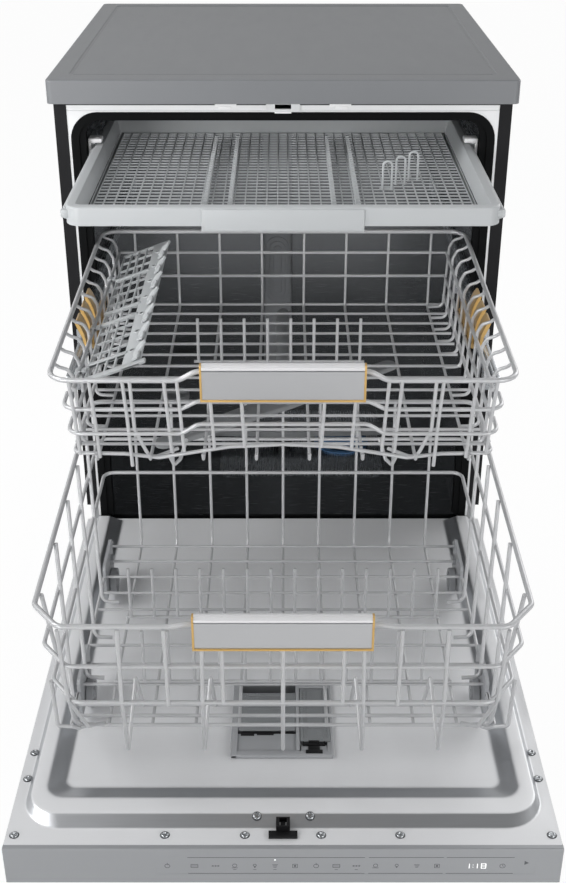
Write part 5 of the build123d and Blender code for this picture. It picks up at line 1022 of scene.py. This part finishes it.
def print_shapes():
    """Printed lines and plain symbols on the control panel, and the lit digits of the clock."""
    marks = Shape()
    y = (-646.98, -646.85)

    def bar(x, z, width, height):
        marks.block(x - width / 2, x + width / 2, *y, z - height / 2, z + height / 2)

    def frame_mark(x, z, width, height):
        line = 0.55
        bar(x, z + height / 2, width, line)
        bar(x, z - height / 2, width, line)
        bar(x - width / 2, z, line, height)
        bar(x + width / 2, z, line, height)

    def ring_mark(x, z, radius):
        inner = radius - 0.6
        marks.ring((x, y[1], z), (0, -1, 0), [(inner, 0), (inner, 0.13), (radius, 0.13), (radius, 0)], 20)

    for number, x in enumerate(ICON_X):
        kind = number % 7
        if kind == 0:
            ring_mark(x, ICON_Z, 3.0)
            bar(x, 159.8, 0.6, 3)
        elif kind == 1:
            frame_mark(x, ICON_Z, 7.5, 4.6)
            bar(x, ICON_Z, 7.5, 0.5)
        elif kind == 2:
            for step in (-3, 0, 3):
                bar(x + step, ICON_Z, 2.0, 1.4)
        elif kind == 3:
            ring_mark(x, 157.4, 2.6)
            bar(x, 154.0, 6.5, 0.6)
        elif kind == 4:
            ring_mark(x, 157.8, 2.0)
            bar(x, 155.0, 1.6, 1.4)
        elif kind == 5:
            bar(x, 158.6, 6.0, 0.6)
            bar(x, ICON_Z, 4.6, 0.6)
            bar(x, 155.0, 3.2, 0.6)
        else:
            frame_mark(x, ICON_Z, 5.2, 5.2)
            bar(x, ICON_Z, 2.4, 2.4)
        if number in (3, 4, 5, 8, 9):
            bar(x, 151.4, 3.4, 0.5)
    ring_mark(235.0, ICON_Z, 3.2)
    bar(235.0, 157.8, 0.5, 2.2)
    bar(235.8, 156.6, 1.8, 0.5)
    marks.drawn([(258.2, y[0], 164.2), (258.2, y[0], 158.4), (262.8, y[0], 161.3)], (0, 0.12, 0))
    for x, end in ((-102, 87.5), (91.6, 171.5), (174.7, 247)):
        for z in (169.2, 145.9):
            marks.block(x, end, *y, z - 0.3, z + 0.3)
    lit = Shape()
    glow = (-646.99, -646.84)

    def stroke(x0, x1, z0, z1):
        lit.block(x0, x1, *glow, z0, z1)

    stroke(199.0, 199.9, 153.4, 160.2)
    for z in (155.2, 158.4):
        stroke(203.0, 203.8, z - 0.4, z + 0.4)
    stroke(207.6, 208.5, 153.4, 160.2)
    for x in (212.0, 216.6):
        stroke(x, x + 0.9, 153.4, 160.2)
    for z in (153.2, 156.4, 159.6):
        stroke(212.0, 217.4, z, z + 0.8)
    stroke(-9.4, -7.8, 165.0, 166.6)
    return marks, lit


def arm_shape(centre, reach, width, thickness, bottom, angle, hub):
    """Spray arm: a blade that narrows to rounded ends, with raised jets and a hub."""
    shape = Shape()
    outline = []
    tip = width * 0.3
    for end in (1, -1):
        for step in range(9):
            turn = pi * (step / 8 - 0.5)
            outline.append((end * (reach - tip + tip * cos(turn)), end * tip * sin(turn), bottom))
        outline.append((end * -reach * 0.02, end * width / 2, bottom))
    shape.drawn(outline, (0, 0, thickness - 3), 2.6, 3)
    for step in range(5):
        for end in (1, -1):
            x = end * reach * (0.3 + 0.145 * step)
            shape.ring((x, end * width * 0.1 * (step % 2 * 2 - 1), bottom + thickness - 3.1), (0, 0, 1),
                       [(1.6, 0), (1.6, 1.0), (3.0, 1.0), (4.2, 0)], 14)
    shape.ring((0, 0, bottom + thickness - 3.5), (0, 0, 1),
               [(hub[0], 0), (hub[0], 3.3), (hub[1] - 1.5, 3.3), (hub[1], 1.6), (hub[1], 0)], 28)
    turn = Matrix.Translation((*centre, 0)) @ Matrix.Rotation(radians(angle), 4, "Z")
    bmesh.ops.transform(shape.bm, matrix=turn, verts=shape.bm.verts)
    return shape


def wheel_shape(y):
    """A pair of basket wheels with a tyre ring, a hub and five spokes."""
    shape = Shape()
    for side in (-1, 1):
        centre = (side * 233.5, y, 199.85)
        shape.ring(centre, (1, 0, 0), [(13.8, -3.6), (17.2, -4.4), (18.0, -3.4), (18.0, 3.4), (17.2, 4.4),
                                       (13.8, 3.6), (13.8, -3.6)], 36)
        shape.ring(centre, (1, 0, 0), [(4.1, -4.4), (7.0, -4.4), (7.2, -3.8), (7.2, 3.8), (7.0, 4.4),
                                       (4.1, 4.4), (4.1, -4.4)], 24)
        for number in range(5):
            turn = 2 * pi * number / 5
            spoke = Matrix.Translation(centre) @ Matrix.Rotation(turn, 4, "X")
            shape.block(-2.2, 2.2, 6.6, 14.4, -1.6, 1.6, 0.5, 1, spoke)
    return shape


class DISHWASHER_OT_finishes(bpy.types.Operator):
    """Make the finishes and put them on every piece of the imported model"""
    bl_idname = "dishwasher.finishes"
    bl_label = "Finishes"

    def execute(self, context):
        FINISH.update(finishes())
        for node, made in frame["nodes"].items():
            finish = FINISH[CARRIED.get(node, "grey")]
            if not made.material_slots:
                made.data.materials.append(finish)
            for slot in made.material_slots:
                slot.material = finish
        return {"FINISHED"}


class DISHWASHER_OT_worktop(bpy.types.Operator):
    """Make the worktop with its sunken panel, and the small parts in and round the opening"""
    bl_idname = "dishwasher.worktop"
    bl_label = "Worktop"

    def execute(self, context):
        piece("worktop_board", worktop_shape(), "worktop", "cabinet", ("worktop",), 12)
        piece("opening_clips", opening_shapes(), "clip", "cabinet")
        piece("striker_lip", striker_lip_shape(), "clip", "cabinet")
        piece("duct_ovals", duct_ovals_shape(), "grey", "cabinet")
        piece("gasket_lip", gasket_lip_shape(), "rubber", "cabinet")
        return {"FINISHED"}


class DISHWASHER_OT_lower_basket(bpy.types.Operator):
    """Weld the lower basket and its two folding rows of tines"""
    bl_idname = "dishwasher.lower_basket"
    bl_label = "Lower basket"

    def execute(self, context):
        wires("lower_basket_wires", lower_basket_runs(), "wire", "lower_rack", ("lower_basket",))
        for row, y in (("front", -430), ("rear", -300)):
            name = "lower_tines_" + row
            wires(name + "_wires", tine_runs(y, 232.2, -195, 195, 14, 72), "wire", name, (name,))
        return {"FINISHED"}


class DISHWASHER_OT_middle_basket(bpy.types.Operator):
    """Weld the middle basket and its folding row of tines, and make its rail members"""
    bl_idname = "dishwasher.middle_basket"
    bl_label = "Middle basket"

    def execute(self, context):
        wires("middle_basket_wires", middle_basket_runs(), "wire", "middle_rack", ("middle_basket",))
        piece("rail_members", rail_shape(), "bright", "middle_rack", ("rail_carriers",))
        wires("middle_tines_wires", tine_runs(-120, 510.2, -110, 100, 8, 58), "wire", "middle_tines",
              ("middle_tines",))
        return {"FINISHED"}


class DISHWASHER_OT_handles(bpy.types.Operator):
    """Make the two basket handles with their gold trim"""
    bl_idname = "dishwasher.handles"
    bl_label = "Handles"

    def execute(self, context):
        handle_pair(-600, 417.4, 456.6, 88.4, "lower_handle", "lower_rack")
        handle_pair(-389, 590.4, 632.4, 87.4, "middle_handle", "middle_rack")
        return {"FINISHED"}


class DISHWASHER_OT_levers(bpy.types.Operator):
    """Make the gold height levers of the middle basket"""
    bl_idname = "dishwasher.levers"
    bl_label = "Height levers"

    def execute(self, context):
        for side, name in ((-1, "height_lever_left"), (1, "height_lever_right")):
            piece(name + "_paddle", lever_shape(side), "gold", name, (name,))
        return {"FINISHED"}


class DISHWASHER_OT_cup_shelf(bpy.types.Operator):
    """Make the tilted cup shelf"""
    bl_idname = "dishwasher.cup_shelf"
    bl_label = "Cup shelf"

    def execute(self, context):
        lattice, hole_shade = shelf_shapes()
        piece("cup_shelf_lattice", lattice, "tray", "cup_shelf", ("cup_shelf",))
        # Painted shade in the shelf's rings.
        piece("cup_shelf_hole_shade", hole_shade, "black", "cup_shelf")
        return {"FINISHED"}


class DISHWASHER_OT_cutlery_tray(bpy.types.Operator):
    """Make the cutlery tray with its grid, combs and hairpins"""
    bl_idname = "dishwasher.cutlery_tray"
    bl_label = "Cutlery tray"

    def execute(self, context):
        piece("cutlery_tray_frame", tray_shape(), "tray", "tray", ("cutlery_tray",))
        piece("cutlery_tray_grid", grid_shape(), "tray", "tray", ("tray_grid",))
        piece("cutlery_tray_combs", comb_shape(), "tray", "tray", ("tray_combs",))
        wires("cutlery_tray_hairpins", hairpin_runs(), "tray", "tray")
        return {"FINISHED"}


class DISHWASHER_OT_dispenser(bpy.types.Operator):
    """Make the detergent dispenser with its two lids"""
    bl_idname = "dishwasher.dispenser"
    bl_label = "Dispenser"

    def execute(self, context):
        frame_part, lid, rinse = dispenser_shapes()
        piece("dispenser_frame", frame_part, "grey", "door", ("dispenser_housing",))
        piece("dispenser_lid", lid, "clear", "detergent_lid", ("detergent_lid",))
        piece("rinse_lid", rinse, "clear", "rinse_aid_lid", ("rinse_aid_lid",))
        shadow_and_tabs, catch = catch_shapes()
        # Black tab and bracket, and a strip of painted shadow before the sliding lid.
        piece("dispenser_tabs_and_shadow", shadow_and_tabs, "black", "door")
        piece("rinse_catch", catch, "black", "rinse_aid_lid")
        return {"FINISHED"}


class DISHWASHER_OT_controls(bpy.types.Operator):
    """Make the touch panel with its plain symbols, the pressed inner door and its screws"""
    bl_idname = "dishwasher.controls"
    bl_label = "Controls and screws"

    def execute(self, context):
        face = Shape()
        face.block(-136.2, 270.2, -646.9, -645.8, 144.8, 170.2, 0.15, 1)
        piece("touch_panel", face, "fascia", "door", ("display_window",))
        marks, lit = print_shapes()
        piece("touch_panel_marks", marks, "print", "door")
        piece("touch_panel_digits", lit, "lit", "door")
        piece("door_pressed_panel", door_panel_shape(), "door_steel", "door", ("door_inner_panel",), 50)
        heads, rings = screw_shapes(SCREWS, SLOPE_SCREWS)
        piece("screw_heads", heads, "bright", "door", ("door_screws",))
        piece("screw_rings", rings, "ring", "door")
        return {"FINISHED"}


class DISHWASHER_OT_spray_arms(bpy.types.Operator):
    """Make the three spray arms"""
    bl_idname = "dishwasher.spray_arms"
    bl_label = "Spray arms"

    def execute(self, context):
        for name, body, *values in (
                ("lower_arm", "lower_spray_arm", (0, 300), 203, 48, 13, 190, 0, (16, 24)),
                ("middle_arm", "middle_spray_arm", (0, -150), 196, 38, 9.4, 463.6, 38, (10, 18)),
                ("ceiling_arm", "top_spray_arm", (0, 300), 150, 26, 9, 771.4, 0, (9, 13))):
            piece(name, arm_shape(*values), "arm", body, (body,))
        return {"FINISHED"}


class DISHWASHER_OT_wheels(bpy.types.Operator):
    """Make the wheels of the lower basket"""
    bl_idname = "dishwasher.wheels"
    bl_label = "Wheels"

    def execute(self, context):
        for name, y in (("lower_wheels_front", -410), ("lower_wheels_rear", -170)):
            piece(name + "_spoked", wheel_shape(y), "grey", name, (name,))
        return {"FINISHED"}


class DISHWASHER_OT_stage(bpy.types.Operator):
    """Lay the floor, and set the lamps, the world and the camera"""
    bl_idname = "dishwasher.stage"
    bl_label = "Stage"

    def execute(self, context):
        scene = context.scene
        scene.view_settings.view_transform = "Standard"
        ground = bmesh.new()
        bmesh.ops.create_circle(ground, cap_ends=True, segments=96, radius=14.0)
        mesh = bpy.data.meshes.new("studio_floor")
        ground.to_mesh(mesh)
        ground.free()
        floor = bpy.data.objects.new("studio_floor", mesh)
        scene.collection.objects.link(floor)
        paint = Paint("studio_floor")
        paint.set(Base_Color=paint.tint(tone("f7f7f7"), paint.noise(1.5, 2), 0.004), Roughness=0.8)
        seen = paint.node("ShaderNodeLightPath")
        glow = paint.node("ShaderNodeEmission", inputs={"Strength": 1.0})
        lit = Value(paint, paint.shader.outputs[0])
        shown = paint.node("ShaderNodeMixShader", inputs={0: seen * 0.96, 1: lit, 2: glow})
        paint.feed(paint.tree.nodes["Material Output"].inputs["Surface"], shown)
        mesh.materials.append(paint.material)
        world = bpy.data.worlds.new("studio")
        scene.world = world
        world.use_nodes = True
        sky = Nodes(world.node_tree)
        way = sky.node("ShaderNodeTexCoord")
        east, ahead, high = (sky.node("ShaderNodeSeparateXYZ", inputs={0: way}, output=n) for n in range(3))

        def ramp(value, *stops):
            greys = [(place, (level,) * 3) for place, level in stops]
            return sky.node("ShaderNodeValToRGB", {"stops": greys}, {0: value})

        rise = ramp(high, (0.0, 0.85), (0.3, 0.7), (0.6, 0.5), (0.9, 0.24))
        card = ramp(high, (0.42, 0.0), (0.55, 1.0), (0.78, 1.0), (0.9, 0.0)) * (ahead * 3.0).clamp()
        shade = ramp(high, (0.1, 0.0), (0.4, 1.0), (0.75, 1.0), (0.92, 0.0)) * (ahead * -2.0).clamp()
        low = ramp(high, (0.05, 0.0), (0.15, 1.0), (0.32, 1.0), (0.42, 0.0)) * (ahead * 3.0).clamp()
        dim = 1.0 - shade * 0.45 - low * (east * 1.6 + 0.35).clamp() * 0.6
        level = rise * dim + card * (east * 2.0 + 0.5).clamp() * 0.5
        seen = sky.node("ShaderNodeLightPath")
        colour_in, strength_in = world.node_tree.nodes["Background"].inputs[:2]
        sky.feed(colour_in, (1.0, 1.0, 1.0))
        sky.feed(strength_in, seen + (1.0 - seen) * level)
        self.lamp(scene, "key_lamp", (-1.9, -0.5, 2.1), (0, 0.1, 0.8), 1.4, 35)
        self.lamp(scene, "fill_lamp", (1.7, -2.3, 0.9), (0.3, -0.6, 0.2), 1.6, 22)
        self.lamp(scene, "back_lamp", (1.5, 0.9, 1.25), (0.2, -0.6, 0.2), 1.2, 12)
        self.lamp(scene, "low_lamp", (-1.4, -1.9, 1.0), (-0.3, 0, 0.85), 1.2, 3.3, 50)
        camera = bpy.data.cameras.new("photograph_view")
        camera.lens = scene.dishwasher_sizes.camera_lens
        camera.sensor_width = 36.0
        camera.shift_y = CAMERA_SHIFT
        camera.clip_end = 60
        eye = bpy.data.objects.new("photograph_view", camera)
        eye.location = at(*CAMERA_PLACE)
        eye.rotation_euler = (radians(90 - CAMERA_DIP), 0, 0)
        scene.collection.objects.link(eye)
        scene.camera = eye
        return {"FINISHED"}

    def lamp(self, scene, name, place, aim, size, power, spread=180):
        light = bpy.data.lights.new(name, "AREA")
        light.shape = "DISK"
        light.size = size
        light.energy = power
        light.spread = radians(spread)
        lamp = bpy.data.objects.new(name, light)
        lamp.location = place
        lamp.rotation_euler = (Vector(aim) - Vector(place)).to_track_quat("-Z", "Y").to_euler()
        scene.collection.objects.link(lamp)


class DISHWASHER_PT_panel(bpy.types.Panel):
    """Lists the steps that dress the dishwasher"""
    bl_idname = "DISHWASHER_PT_panel"
    bl_label = "Dishwasher"
    bl_space_type = "VIEW_3D"
    bl_region_type = "UI"
    bl_category = "Dishwasher"

    def draw(self, context):
        for step in STEPS:
            self.layout.operator(step.bl_idname)


STEPS = (DISHWASHER_OT_finishes, DISHWASHER_OT_worktop, DISHWASHER_OT_lower_basket,
         DISHWASHER_OT_middle_basket, DISHWASHER_OT_handles, DISHWASHER_OT_levers,
         DISHWASHER_OT_cup_shelf, DISHWASHER_OT_cutlery_tray, DISHWASHER_OT_dispenser,
         DISHWASHER_OT_controls, DISHWASHER_OT_spray_arms, DISHWASHER_OT_wheels, DISHWASHER_OT_stage)
CLASSES = (DishwasherColours, DishwasherSizes, *STEPS, DISHWASHER_PT_panel)


def register():
    for kind in CLASSES:
        bpy.utils.register_class(kind)
    bpy.types.Scene.dishwasher_colours = bpy.props.PointerProperty(type=DishwasherColours)
    bpy.types.Scene.dishwasher_sizes = bpy.props.PointerProperty(type=DishwasherSizes)


def unregister():
    del bpy.types.Scene.dishwasher_sizes
    del bpy.types.Scene.dishwasher_colours
    for kind in reversed(CLASSES):
        bpy.utils.unregister_class(kind)


def main():
    register()
    for step in STEPS:
        group, name = step.bl_idname.split(".")
        getattr(getattr(bpy.ops, group), name)()
    bpy.context.view_layer.update()


if __name__ == "__main__":
    main()
